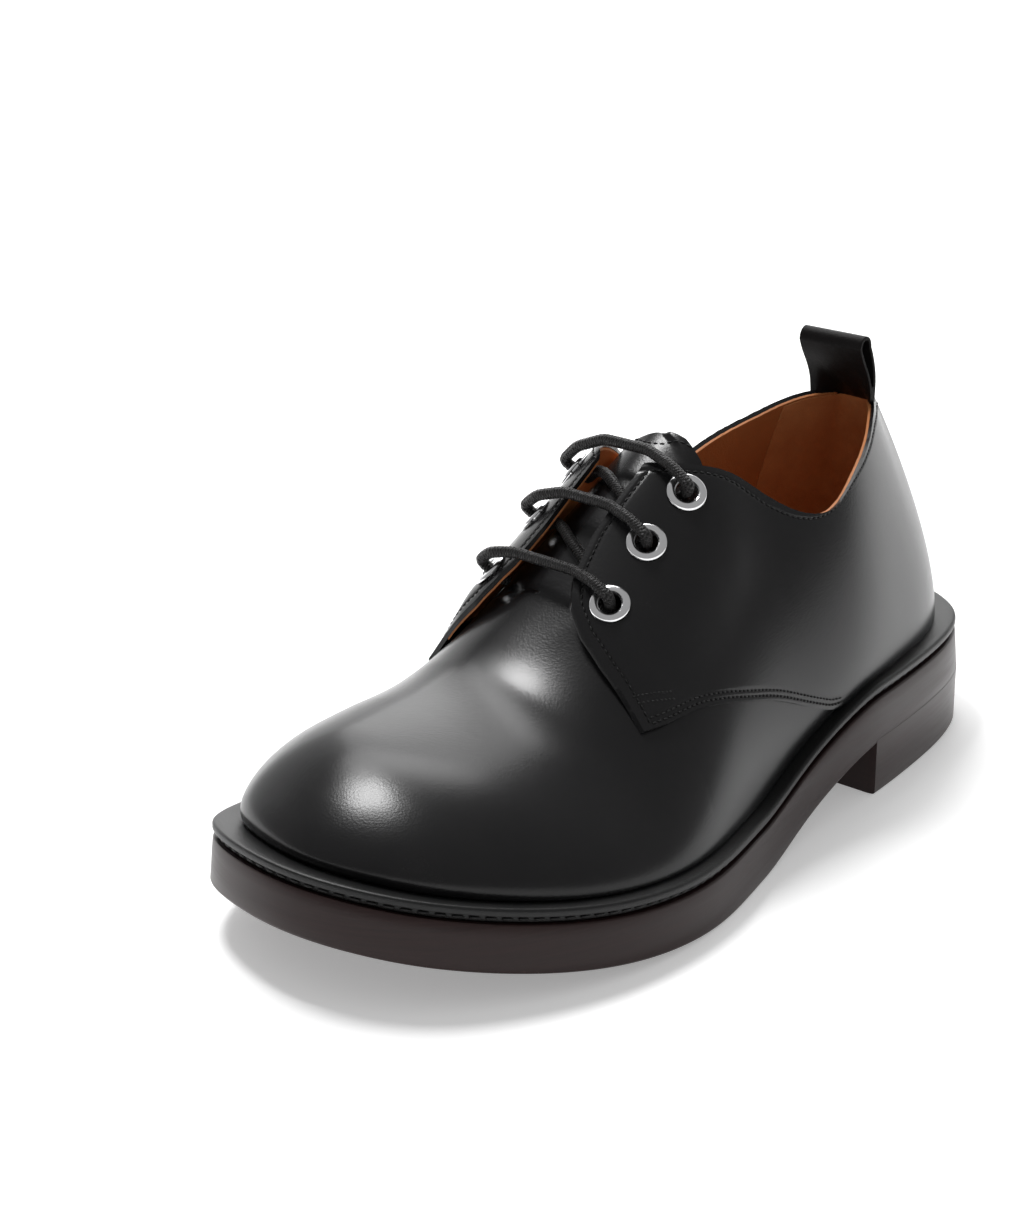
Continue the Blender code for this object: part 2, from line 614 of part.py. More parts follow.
def lace_corners():
    """The lace's corners: up through a lateral eyelet, over both facings' edges, down through the medial
    eyelet and slanting beneath the facings to the next lateral one."""
    holes = {name: (point, direction) for name, point, direction in eyelet_frames()}
    points = []
    for number, row in enumerate(EYELETS, 1):
        bar = []
        for side, word in ((1, "lateral"), (-1, "medial")):
            hole, out = holes[f"eyelet_{word}_{number}"]
            inward = np.array([-side, 0.0, 0.0])
            inward = inward - out * (inward @ out)
            lip = facing_edge(row[0], side) + np.array([0.0, 0.0, LACE_THICK / 2.0 + 0.9])
            over = hole + out * 4.7
            half = [hole - out * 4.9 + inward * 4.0, hole - out * 4.8 + inward * 0.3, hole - out * 1.0,
                    over, over * 0.55 + lip * 0.45 + out * 1.9, lip]
            bar += half if side > 0 else half[::-1]
        points += bar
        if number < len(EYELETS):
            after = EYELETS[number]
            for way in np.linspace(0.12, 0.88, 9):
                side = 1 if way > 0.5 else -1
                low = after[1] if side > 0 else row[2]
                share = 1.0 - (1.0 - low) * abs(2.0 * way - 1.0)
                station = row[0] + (after[0] - row[0]) * way
                points.append(last_form(around_at(station, side), share, LACE_OVER_TONGUE))
    return np.array(points)


def lace_line(spacing):
    """The lace's centre line: its corners joined, rounded by a running mean and spaced evenly."""
    corners = lace_corners()
    run = np.concatenate([[0.0], np.cumsum(np.linalg.norm(np.diff(corners, axis=0), axis=1))])
    steps = np.arange(0.0, run[-1], 0.25)
    line = np.stack([np.interp(steps, run, corners[:, k]) for k in range(3)], -1)
    reach = 6
    for _ in range(2):
        padded = np.concatenate([line[:1].repeat(reach, 0), line, line[-1:].repeat(reach, 0)])
        total = np.concatenate([np.zeros((1, 3)), np.cumsum(padded, axis=0)])
        line = (total[2 * reach + 1:] - total[:-2 * reach - 1]) / (2 * reach + 1)
    run = np.concatenate([[0.0], np.cumsum(np.linalg.norm(np.diff(line, axis=0), axis=1))])
    places = np.linspace(0.0, run[-1], int(round(run[-1] / spacing)) + 1)
    return np.stack([np.interp(places, run, line[:, k]) for k in range(3)], -1)


def make_lace(parts, finish):
    """The lace: one round cord through all six eyelets."""
    line = to_world(lace_line(LACE_THICK))
    curve = bpy.data.curves.new("lace", "CURVE")
    curve.dimensions = "3D"
    curve.bevel_depth = LACE_THICK / 2.0 * MM
    curve.bevel_resolution = 2
    curve.use_fill_caps = True
    spline = curve.splines.new("POLY")
    spline.points.add(len(line) - 1)
    spline.points.foreach_set("co", np.column_stack([line, np.ones(len(line))]).ravel())
    lace = bpy.data.objects.new("lace", curve)
    parts.objects.link(lace)
    curve.materials.append(finish)
    return lace


def main():
    for old in list(bpy.data.objects):
        bpy.data.objects.remove(old)
    parts = collection("derby_shoe")
    cutters = collection("cutters")
    black_calf = material("black_calf", (0.012, 0.012, 0.013), 0.28)
    sole_edge = material("sole_edge", (0.035, 0.018, 0.018), 0.35)
    welt_black = material("welt_black", (0.010, 0.010, 0.011), 0.38)
    lining_tan = material("lining_tan", (0.42, 0.16, 0.05), 0.6)
    black_strap = material("black_strap", (0.014, 0.013, 0.013), 0.45)
    black_cord = material("black_cord", (0.012, 0.012, 0.012), 0.5)
    chrome = material("chrome", (0.85, 0.85, 0.86), 0.08, 1.0)
    make_outsole(parts, sole_edge)
    make_heel(parts, cutters, sole_edge)
    make_welt(parts, welt_black)
    make_insole(parts, lining_tan)
    make_upper(parts, cutters, black_calf)
    make_tongue(parts, cutters, black_calf)
    make_pull_loop(parts, black_strap)
    make_eyelets(parts, chrome)
    make_lace(parts, black_cord)


main()
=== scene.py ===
# %% [markdown]
# # A black derby shoe, dressed over its solids
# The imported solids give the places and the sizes. This lesson loads them, works out smooth surfaces from
# the same form of the last, and finishes each piece as a shoemaker would: leather, welt, thread, cord.

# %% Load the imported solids
import math

import bmesh
import bpy
import numpy as np
from mathutils import Matrix, Vector


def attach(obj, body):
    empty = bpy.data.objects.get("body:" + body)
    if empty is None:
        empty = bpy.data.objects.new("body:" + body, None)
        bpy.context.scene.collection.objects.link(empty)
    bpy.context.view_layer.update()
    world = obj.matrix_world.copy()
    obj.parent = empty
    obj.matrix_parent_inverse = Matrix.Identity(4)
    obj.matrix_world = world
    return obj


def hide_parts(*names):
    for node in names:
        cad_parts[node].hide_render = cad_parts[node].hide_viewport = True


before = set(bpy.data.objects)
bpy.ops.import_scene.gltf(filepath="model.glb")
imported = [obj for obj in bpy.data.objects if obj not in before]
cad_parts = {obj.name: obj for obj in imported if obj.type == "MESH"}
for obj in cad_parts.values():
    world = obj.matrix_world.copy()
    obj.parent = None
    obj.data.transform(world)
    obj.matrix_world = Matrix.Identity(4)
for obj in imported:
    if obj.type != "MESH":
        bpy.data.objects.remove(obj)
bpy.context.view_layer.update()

print("solids:", sorted(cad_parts))

# %% [markdown]
# ## Names for the sizes
# Lengths are in millimetres. A point is (x, station, height): x is positive on the lateral side, and the
# station runs from the heel's back to the toe. They are the sizes of the solids, so each surface lies where
# its solid lies. Two places follow the photo more closely than the solids do: the collar's front, up to 3 mm
# higher at stations 113 to 135, and the tongue's lateral half, up to 7 mm broader at its top.

# %% Sizes of the sole and the upper
MM = 0.001
SOLE_LENGTH = 305.0
OUTSOLE_THICK = 14.4
WELT_THICK = 4.6
GAP = 0.3
EDGE_FLARE = 1.2
GROOVE_DEEP = 1.8
GROOVE_TALL = 1.8
HEEL_HEIGHT = 17.4
BREAST = 92.0
WAIST_BACK = 85.5
WAIST_FRONT = 164.0
BALL = 182.5
TOE_SPRING = 17.7
HEEL_POLE = 46.0
TOE_POLE = 258.0
POLE_EASE = 6.0
QUARTER_LAP = 1.3
LINING_FACE = -1.7
FACING_LIFT = 5.6
TONGUE_SUNK = 1.2
SIDES = ((1, "lateral"), (-1, "medial"))
print("sole", SOLE_LENGTH, "mm long,", OUTSOLE_THICK + WELT_THICK, "mm thick with its welt")

# %% The last's sections and its crown line
SECTIONS = np.array([
    # station, lateral, medial, welt lateral, welt medial, bulge lateral, bulge medial, side, crown, lean
    (0.0, -2.0, -2.0, 9.8, 9.8, 2.0, 2.0, 2.05, 1.42, 20.5),
    (3.5, 13.0, -16.5, 9.4, 9.6, 2.0, 2.1, 2.04, 1.41, 18.8),
    (16.0, 29.3, -30.0, 8.8, 9.0, 1.2, 2.2, 2.00, 1.38, 15.5),
    (38.0, 39.5, -37.0, 6.9, 7.8, 1.3, 2.4, 1.93, 1.33, 14.0),
    (66.0, 45.5, -38.5, 5.6, 7.0, 1.6, 2.4, 1.98, 1.50, 8.0),
    (98.0, 49.8, -38.0, 4.5, 6.1, 1.9, 2.0, 2.08, 1.74, 3.0),
    (131.0, 52.5, -40.0, 4.4, 5.2, 1.2, 2.4, 2.02, 1.66, 1.0),
    (165.0, 60.5, -47.0, 4.4, 4.7, 0.6, 3.0, 1.93, 1.53, 0.0),
    (200.0, 69.3, -53.5, 4.5, 4.5, 0.5, 4.0, 1.95, 1.52, 0.0),
    (234.0, 69.0, -54.5, 4.8, 4.5, 0.7, 4.6, 1.93, 1.62, 0.0),
    (262.0, 60.0, -51.0, 5.3, 5.4, 0.9, 3.8, 1.92, 1.77, 0.0),
    (284.0, 46.0, -43.0, 6.3, 7.8, 1.6, 2.0, 1.98, 1.87, 0.0),
    (298.0, 29.0, -28.0, 7.8, 9.2, 2.0, 1.6, 2.03, 1.93, 0.0),
    (305.0, 3.0, 3.0, 8.6, 8.6, 2.2, 2.2, 2.05, 1.95, 0.0)])
CROWN = np.array([
    # station, x, height
    (30.0, 2.0, 141.0), (60.0, 1.5, 150.0), (95.0, 1.0, 148.0), (130.0, 0.0, 129.0), (160.0, -1.5, 108.0),
    (190.0, -6.0, 81.5), (215.0, -11.0, 64.2), (240.0, -12.0, 59.8), (258.0, -10.5, 58.6),
    (290.0, -9.0, 54.0)])
print("sections", len(SECTIONS), "crown points", len(CROWN))

# %% Where the leather is cut
TOPLINE = np.array([
    # station, height
    (20.0, 112.0), (40.0, 112.4), (50.0, 112.2), (57.0, 110.8), (67.5, 107.3), (81.0, 103.4), (91.0, 99.8),
    (99.0, 96.6), (106.0, 95.2), (113.0, 95.9), (119.0, 98.0), (125.0, 101.6), (131.0, 106.2),
    (135.0, 109.6), (139.0, 112.4), (144.0, 114.6), (152.0, 116.5)])
QUARTER_FOOT = np.array([
    # station, share of the way from feather to crown
    (0.0, 0.0), (60.0, 0.0), (108.0, 0.0), (121.0, 0.075), (143.0, 0.22), (163.0, 0.325), (180.0, 0.415),
    (193.0, 0.465), (200.5, 0.50)])
QUARTER_FRONT = np.array([
    # station, share, from the corner over the ball up to the facing's top
    (200.5, 0.50), (199.0, 0.59), (197.5, 0.685), (195.0, 0.775), (191.0, 0.84), (185.0, 0.88),
    (175.0, 0.902), (163.0, 0.905), (151.5, 0.905)])
TONGUE = np.array([
    # station, half breadth medial, half breadth lateral
    (141.5, 4.0, 10.0), (142.5, 9.0, 17.0), (145.0, 14.5, 21.5), (149.5, 19.0, 24.0), (156.0, 21.5, 24.5),
    (172.0, 20.0, 21.5), (188.0, 16.5, 17.0), (203.0, 13.0, 13.0)])
TONGUE_SKEW = 2.4
EYELETS = np.array([
    # station, lateral share, medial share
    (152.5, 0.755, 0.735), (168.5, 0.765, 0.745), (185.5, 0.755, 0.745)])
print("collar points", len(TOPLINE), "eyelets", len(EYELETS) * len(SIDES))

# %% [markdown]
# ## The form of the last
# A last is a set of cross sections. Each section here is a superellipse that climbs from the feather line,
# where the upper meets the welt, to the crown line over the instep. A closed cubic through the section table
# gives every section between, so one function of (round, share) is the whole upper. It could be sculpted as
# a cage instead, but then no seam or edge could be placed by its measured position.

# %% Curves that read the tables
def ease(start, end, value):
    """A smooth step, 3t^2 - 2t^3, from 0 at start to 1 at end."""
    t = np.clip((value - start) / (end - start), 0.0, 1.0)
    return t * t * (3.0 - 2.0 * t)


def natural_curve(xs, ys, x):
    """The natural cubic spline through the points (xs, ys), read at x."""
    count = len(xs)
    step = np.diff(xs)
    inner = np.arange(1, count - 1)
    matrix = np.eye(count)
    matrix[inner, inner - 1] = step[:-1]
    matrix[inner, inner] = 2.0 * (step[:-1] + step[1:])
    matrix[inner, inner + 1] = step[1:]
    right = np.zeros(count)
    right[1:-1] = 6.0 * (np.diff(ys[1:]) / step[1:] - np.diff(ys[:-1]) / step[:-1])
    bend = np.linalg.solve(matrix, right)
    k = np.clip(np.searchsorted(xs, x) - 1, 0, count - 2)
    t = x - xs[k]
    h = step[k]
    slope = (ys[k + 1] - ys[k]) / h - h * (2.0 * bend[k] + bend[k + 1]) / 6.0
    return ys[k] + t * slope + t * t * bend[k] / 2.0 + t ** 3 * (bend[k + 1] - bend[k]) / (6.0 * h)


def around_shoe(u):
    """The section table read round the shoe on a closed cubic: u is 0 at the heel's back, 0.5 at the toe
    after the lateral side, and 1 at the heel again after the medial side."""
    lateral = SECTIONS[:, [0, 1, 3, 5, 7, 8, 9]]
    medial = SECTIONS[:, [0, 2, 4, 6, 7, 8, 9]]
    rows = np.concatenate([lateral, medial[-2:0:-1]])
    count = len(rows)
    matrix = 4.0 * np.eye(count) + np.roll(np.eye(count), 1, 1) + np.roll(np.eye(count), -1, 1)
    slope = np.linalg.solve(matrix, 3.0 * (np.roll(rows, -1, 0) - np.roll(rows, 1, 0)))
    t = (np.asarray(u, float) % 1.0) * count
    i = np.floor(t).astype(int) % count
    j = (i + 1) % count
    t = (t - np.floor(t))[..., None]
    return (rows[i] * (1 + 2 * t) * (1 - t) ** 2 + slope[i] * t * (1 - t) ** 2
            + rows[j] * t * t * (3 - 2 * t) + slope[j] * t * t * (t - 1))


# %% The sole's rise and its edge
def rise(station):
    """Height of the outsole's underside: flat under the ball, a parabola up to the toe spring, and a smooth
    step through the waist up to the top of the heel."""
    toe = np.clip((station - BALL) / (SOLE_LENGTH - BALL), 0.0, None)
    return TOE_SPRING * toe ** 2 + HEEL_HEIGHT * (1.0 - ease(WAIST_BACK, WAIST_FRONT, station))


def edge(u, inset):
    """The plan point that lies the inset inside the sole's edge, along the edge's own normal."""
    row = around_shoe(u)
    along = around_shoe(np.asarray(u) + 1e-4) - around_shoe(np.asarray(u) - 1e-4)
    out = np.stack([along[..., 0], -along[..., 1]], -1)
    out /= np.linalg.norm(out, axis=-1)[..., None]
    return row[..., 1] - out[..., 0] * inset, row[..., 0] - out[..., 1] * inset


def spine(station):
    """The crown's plan point for a section: its own station, held between the heel's and the toe's pole."""
    low = np.logaddexp(0.0, (station - HEEL_POLE) / POLE_EASE)
    high = np.logaddexp(0.0, (station - TOE_POLE) / POLE_EASE)
    s = HEEL_POLE + POLE_EASE * (low - high)
    return np.interp(s, CROWN[:, 0], CROWN[:, 1]), s


# %% The last's surface
BULGE = 3.6
BULGE_RISE = 2.25
BULGE_TOP = 1.6
BULGE_FADE = 3.15
LEAN_RISE = 1.2
LEAN_TOP = 1.3
LEAN_POWER = 1.4
LEAN_ENDS = (0.62, 0.92)


def last_form(u, share, grow=0.0):
    """A point of the last: share 0 is the feather line and 1 the crown. Inwards it goes by
    1 - cos^(2/side), upwards by sin^(2/crown), plus a bulge low down and a lean of the top. The grow is how
    far outside the last the surface lies."""
    u, share = np.broadcast_arrays(np.asarray(u, float), np.asarray(share, float))
    row = around_shoe(u)
    fx, fs = edge(u, row[..., 2] - grow)
    mirror = around_shoe(-u)
    other = edge(-u, mirror[..., 2] - grow)[1]
    px, ps = spine((fs + other) / 2.0)
    floor = rise(fs) + OUTSOLE_THICK + WELT_THICK + GAP + max(0.0, -grow)
    angle = share * math.pi / 2.0
    inward = 1.0 - np.maximum(np.cos(angle), 1e-12) ** (2.0 / row[..., 4])
    up = np.sin(angle) ** (2.0 / row[..., 5])
    reach = np.hypot(px - fx, ps - fs)
    bulge = row[..., 3] * BULGE * np.clip(BULGE_RISE * up, 0.0, BULGE_TOP)
    bulge = bulge * np.exp(-BULGE_FADE * up) * np.cos(angle)
    lean = row[..., 6] * np.clip(LEAN_RISE * up, 0.0, LEAN_TOP) ** LEAN_POWER
    lean = lean * (1.0 - ease(*LEAN_ENDS, share))
    part = inward + (lean - bulge) / reach
    x = fx + (px - fx) * part
    s = fs + (ps - fs) * part
    z = floor + (natural_curve(CROWN[:, 0], CROWN[:, 2], s) + grow - floor) * up
    return np.stack([x, s, z], -1)


def around_at(station, side):
    """The place round the shoe of a section, side +1 for lateral and -1 for medial."""
    u = np.linspace(0.0, 0.5, 1000)
    place = np.interp(station, around_shoe(u)[:, 0], u)
    return place * side


def normals(grid):
    """Unit normals of a grid of points, turned out of the shoe."""
    normal = np.cross(np.gradient(grid, axis=1), np.gradient(grid, axis=0))
    normal /= np.maximum(np.linalg.norm(normal, axis=-1), 1e-9)[..., None]
    middle = np.array([5.0, 150.0, 55.0])
    return normal * np.sign(((grid - middle) * normal).sum())


FACING_BACK = (122.0, 150.0)
FACING_FRONT = (188.0, 206.0)
FACING_FOOT = (0.42, 0.70)


def quarter_form(u, share, grow):
    """The last's form, lifted along its normals where the facings stand off the tongue."""
    station = around_shoe(u)[..., 0]
    along = ease(*FACING_BACK, station) * (1.0 - ease(*FACING_FRONT, station))
    lift = FACING_LIFT * along * ease(*FACING_FOOT, share)
    return last_form(u, share, grow) + normals(last_form(u, share)) * lift[..., None]


MIDDLE = np.mean([f(edge(np.linspace(0.0, 1.0, 2000), 0.0)[0]) for f in (np.min, np.max)])


def to_world(points):
    """World metres of shoe points: x from the sole's middle, the toe to -Y."""
    points = np.asarray(points, float)
    return np.stack([points[..., 0] - MIDDLE, SOLE_LENGTH / 2.0 - points[..., 1], points[..., 2]], -1) * MM


print("sole's middle at x =", round(float(MIDDLE), 2), "mm")

# %% [markdown]
# ## From grids to pieces
# Every surface is a grid of points. One helper turns grids into a mesh with quads and a UV map, and another
# closes two grids into a slab with rims, which is what a cut piece of leather is.

# %% Mesh helpers
COLLECTION = bpy.data.collections.new("derby_shoe_looks")
bpy.context.scene.collection.children.link(COLLECTION)


def grid_faces(rows, cols, wrap=False, start=0):
    """Quads between neighbouring grid points, with the last column joined to the first if it wraps."""
    i, j = np.meshgrid(np.arange(rows - 1), np.arange(cols if wrap else cols - 1), indexing="ij")
    k = (j + 1) % cols
    quads = np.stack([i * cols + j, i * cols + k, (i + 1) * cols + k, (i + 1) * cols + j], -1)
    return quads.reshape(-1, 4) + start


def slab_faces(rows, cols):
    """Quads of the closed solid between an outer and an inner grid."""
    outer = grid_faces(rows, cols)
    inner = grid_faces(rows, cols, start=rows * cols)[:, ::-1]
    index = np.arange(rows * cols).reshape(rows, cols)
    rim = np.concatenate([index[0, :-1], index[:-1, -1], index[-1, :0:-1], index[:0:-1, 0]])
    after = np.roll(rim, -1)
    sides = np.stack([after, rim, rim + rows * cols, after + rows * cols], -1)
    return np.concatenate([outer, inner, sides])


def piece(name, points, faces, finish, nodes=(), uv=None, merge=True, sharp=35.0):
    """One finished object at the origin: its mesh from points and quads, riding on the shoe."""
    mesh = bpy.data.meshes.new(name)
    mesh.from_pydata(np.asarray(points).reshape(-1, 3), [], np.asarray(faces).tolist())
    if uv is not None:
        uv_map = mesh.uv_layers.new(name="UVMap")
        corner = np.empty(len(mesh.loops), dtype=np.int32)
        mesh.loops.foreach_get("vertex_index", corner)
        uv_map.data.foreach_set("uv", np.asarray(uv).reshape(-1, 2)[corner].ravel())
    work = bmesh.new()
    work.from_mesh(mesh)
    if merge:
        bmesh.ops.remove_doubles(work, verts=work.verts, dist=0.000002)
        bmesh.ops.dissolve_degenerate(work, edges=work.edges, dist=0.000001)
    bmesh.ops.recalc_face_normals(work, faces=work.faces)
    work.to_mesh(mesh)
    work.free()
    mesh.shade_smooth()
    mesh.set_sharp_from_angle(angle=math.radians(sharp))
    mesh.materials.append(finish)
    made = bpy.data.objects.new(name, mesh)
    COLLECTION.objects.link(made)
    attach(made, "root")
    if nodes:
        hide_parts(*nodes)
    print(name, len(mesh.polygons), "faces")
    return made


def soften(made, width, segments=2):
    """Round the cut edges of a piece with a live bevel."""
    bevel = made.modifiers.new("edge", "BEVEL")
    bevel.width = width * MM
    bevel.segments = segments
    bevel.limit_method = "ANGLE"
    bevel.angle_limit = math.radians(50.0)
    bevel.harden_normals = False
    return made


# %% [markdown]
# ## The camera
# The camera stands where the photo was taken from. Its place, lens and shift were fitted to the sole's
# outline and the eyelets of the photo. Where it stands and where it looks give its turn, so no angle is
# typed in but the small roll. The floor and the lights come last, once there is something to light.

# %% The camera
CAMERA_AT = Vector((0.45735, -0.5722, 0.3364))
LOOKS_AT = Vector((-0.07594, 0.0037, 0.0565))
ROLL = math.radians(-0.3)
forward = (LOOKS_AT - CAMERA_AT).normalized()
level = forward.cross(Vector((0, 0, 1))).normalized()
right = math.cos(ROLL) * level + math.sin(ROLL) * level.cross(forward)
upward = right.cross(forward)
camera_data = bpy.data.cameras.new("camera")
camera_data.lens = 75.27
camera_data.sensor_width = 36.0
camera_data.shift_x = 0.0288
camera_data.shift_y = -0.0223
camera_data.clip_start = 0.01
camera = bpy.data.objects.new("camera", camera_data)
bpy.context.scene.collection.objects.link(camera)
turn = Matrix((right, upward, -forward)).transposed().to_4x4()
camera.matrix_world = Matrix.Translation(CAMERA_AT) @ turn
bpy.context.scene.camera = camera
print("camera", [round(v, 3) for v in CAMERA_AT], "lens", camera_data.lens)


# %% Nodes for the materials
def new_material(name):
    """A material with its nodes cleared but for the shader and the output."""
    made = bpy.data.materials.new(name)
    made.use_nodes = True
    return made, made.node_tree.nodes, made.node_tree.links


def add_node(nodes, kind, **values):
    """A shader node with some of its sockets or settings filled in."""
    node = nodes.new(kind)
    for key, value in values.items():
        if key in node.inputs:
            node.inputs[key].default_value = value
        else:
            setattr(node, key, value)
    return node


def two_tones(nodes, links, factor, dark, light):
    """The base colour, mixed from two tones by the factor."""
    mix = add_node(nodes, "ShaderNodeMix", data_type="RGBA")
    mix.inputs[6].default_value = (*dark, 1.0)
    mix.inputs[7].default_value = (*light, 1.0)
    links.new(factor, mix.inputs[0])
    links.new(mix.outputs[2], nodes["Principled BSDF"].inputs["Base Color"])


def roughened(nodes, links, factor, least, most):
    """The roughness, least + factor * (most - least)."""
    span = add_node(nodes, "ShaderNodeMapRange")
    span.inputs["To Min"].default_value = least
    span.inputs["To Max"].default_value = most
    links.new(factor, span.inputs["Value"])
    links.new(span.outputs["Result"], nodes["Principled BSDF"].inputs["Roughness"])


def raised(nodes, links, height, strength, distance):
    """The relief: a height of 1 stands the distance, in metres, over a height of 0."""
    bump = add_node(nodes, "ShaderNodeBump", Strength=strength, Distance=distance)
    links.new(height, bump.inputs["Height"])
    links.new(bump.outputs["Normal"], nodes["Principled BSDF"].inputs["Normal"])


GRAIN_TALL = 0.0002


def leather(name, dark, light, rough, spread, grain, depth, coat=0.0, coat_rough=0.2, blotch=60.0,
            shine=0.28):
    """Leather: two close tones mottled by noise, a varying roughness, and a grain of small cells that
    raises the surface by a fraction of a millimetre."""
    made, nodes, links = new_material(name)
    shader = nodes["Principled BSDF"]
    place = add_node(nodes, "ShaderNodeTexCoord")
    tone = add_node(nodes, "ShaderNodeTexNoise", Scale=blotch, Detail=4.0, Roughness=0.6)
    cells = add_node(nodes, "ShaderNodeTexVoronoi", Scale=grain, Randomness=1.0)
    pores = add_node(nodes, "ShaderNodeTexNoise", Scale=grain * 2.6, Detail=3.0)
    height = add_node(nodes, "ShaderNodeMath", operation="ADD")
    for texture in (tone, cells, pores):
        links.new(place.outputs["Object"], texture.inputs["Vector"])
    links.new(cells.outputs["Distance"], height.inputs[0])
    links.new(pores.outputs["Fac"], height.inputs[1])
    two_tones(nodes, links, tone.outputs["Fac"], dark, light)
    roughened(nodes, links, tone.outputs["Fac"], rough - spread, rough + spread)
    raised(nodes, links, height.outputs[0], depth, GRAIN_TALL)
    shader.inputs["Specular IOR Level"].default_value = shine
    shader.inputs["Coat Weight"].default_value = coat
    shader.inputs["Coat Roughness"].default_value = coat_rough
    shader.inputs["Coat IOR"].default_value = 1.35
    return made


# %% [markdown]
# ## Finishes
# The calf is black with a soft polish, so its base is nearly black, its roughness low and its grain fine.
# The sole's edge is stained aubergine and burnished along its length. The lining is unpolished tan leather.

# %% The leathers
calf = leather("black_calf", (0.006, 0.006, 0.0065), (0.010, 0.0095, 0.010), 0.25, 0.03, 1500.0, 0.10,
               coat=0.10, coat_rough=0.14)
strap_leather = leather("black_strap", (0.005, 0.0045, 0.0045), (0.009, 0.008, 0.008), 0.40, 0.05, 1300.0,
                        0.3, shine=0.06)
welt_leather = leather("welt_black", (0.009, 0.009, 0.0095), (0.014, 0.014, 0.014), 0.38, 0.06, 1700.0, 0.25)
tan_leather = leather("lining_tan", (0.37, 0.125, 0.038), (0.52, 0.200, 0.068), 0.62, 0.08, 1400.0, 0.35,
                      blotch=38.0)
tan_suede = leather("tan_suede", (0.46, 0.170, 0.055), (0.68, 0.320, 0.130), 0.85, 0.05, 2200.0, 0.6,
                    blotch=90.0)


def burnished_edge():
    """The stained edge: fine streaks that follow the sole, from noise that is squeezed in height."""
    made, nodes, links = new_material("sole_edge")
    place = add_node(nodes, "ShaderNodeTexCoord")
    squeeze = add_node(nodes, "ShaderNodeMapping")
    squeeze.inputs["Scale"].default_value = (40.0, 40.0, 900.0)
    streak = add_node(nodes, "ShaderNodeTexNoise", Scale=1.0, Detail=5.0, Roughness=0.6)
    links.new(place.outputs["Object"], squeeze.inputs["Vector"])
    links.new(squeeze.outputs["Vector"], streak.inputs["Vector"])
    two_tones(nodes, links, streak.outputs["Fac"], (0.011, 0.0045, 0.0045), (0.026, 0.011, 0.010))
    roughened(nodes, links, streak.outputs["Fac"], 0.26, 0.42)
    raised(nodes, links, streak.outputs["Fac"], 0.12, GRAIN_TALL)
    nodes["Principled BSDF"].inputs["Specular IOR Level"].default_value = 0.26
    return made


sole_edge = burnished_edge()


# %% Thread, cord and metal
BRAID_TALL = 0.0006


def twisted(name, dark, light, rough, turns_u, turns_v, depth):
    """Thread or braid on a UV map: two crossing waves raise the crossings and paint a highlight on them."""
    made, nodes, links = new_material(name)
    shader = nodes["Principled BSDF"]
    place = add_node(nodes, "ShaderNodeTexCoord")
    crossings_and_glints = add_node(nodes, "ShaderNodeMath", operation="MAXIMUM")
    for strand, way in enumerate((1.0, -1.0)):
        spread = add_node(nodes, "ShaderNodeMapping")
        spread.inputs["Scale"].default_value = (turns_u, way * turns_v, 1.0)
        wave = add_node(nodes, "ShaderNodeTexWave", wave_type="BANDS", bands_direction="DIAGONAL", Scale=1.0)
        links.new(place.outputs["UV"], spread.inputs["Vector"])
        links.new(spread.outputs["Vector"], wave.inputs["Vector"])
        links.new(wave.outputs["Fac"], crossings_and_glints.inputs[strand])
    # The lighter tone falls on the raised crossings: a painted highlight standing in for the glints of the
    # waxed braid.
    two_tones(nodes, links, crossings_and_glints.outputs[0], dark, light)
    raised(nodes, links, crossings_and_glints.outputs[0], depth, BRAID_TALL)
    shader.inputs["Roughness"].default_value = rough
    shader.inputs["Specular IOR Level"].default_value = 0.3
    return made


def plated(name):
    """Polished plating: a bright metal whose roughness wanders a little."""
    made, nodes, links = new_material(name)
    shader = nodes["Principled BSDF"]
    shader.inputs["Metallic"].default_value = 1.0
    shader.inputs["Base Color"].default_value = (0.86, 0.86, 0.87, 1.0)
    place = add_node(nodes, "ShaderNodeTexCoord")
    wander = add_node(nodes, "ShaderNodeTexNoise", Scale=350.0, Detail=3.0)
    links.new(place.outputs["Object"], wander.inputs["Vector"])
    roughened(nodes, links, wander.outputs["Fac"], 0.08, 0.20)
    return made


# The cord's lighter tone is the painted highlight on its crossings; the cord itself is black.
cord_finish = twisted("black_cord", (0.003, 0.003, 0.003), (0.020, 0.019, 0.019), 0.30, 210.0, 3.1416, 0.8)
thread_finish = leather("black_thread", (0.004, 0.004, 0.004), (0.012, 0.012, 0.012), 0.42, 0.05, 5000.0, 0.4)
chrome = plated("chrome")

# %% [markdown]
# ## The sole
# The outsole is a plate that follows the rise of the shoe, a little wider at its foot. Each plate is a stack
# of rings round the shoe: the ring's inset from the edge and its height are a profile, carried round.

# %% Rings of the sole
ROUND = 480
ROUND_U = np.arange(ROUND) / ROUND


def plate_ring(inset, height):
    """The ring at one inset and height over the sole's rise."""
    x, s = edge(ROUND_U, inset)
    return to_world(np.stack([x, s, rise(s) + height], -1))


def plate_spine(height):
    """The ring that closes a plate, folded along its middle."""
    x, s = spine((edge(ROUND_U, 0.0)[1] + edge(-ROUND_U, 0.0)[1]) / 2.0)
    return to_world(np.stack([x, s, rise(s) + height], -1))


def carry_round(name, profile, finish, nodes, closed=False):
    """A profile of (inset, height) carried round the sole, closed in itself or over the middle."""
    rings = [plate_ring(inset, height) for inset, height in profile]
    if closed:
        rings.append(rings[0])
    else:
        rings = [plate_spine(profile[0][1])] + rings + [plate_spine(profile[-1][1])]
    grid = np.stack(rings)
    return piece(name, grid, grid_faces(len(rings), ROUND, wrap=True), finish, nodes, sharp=50.0)


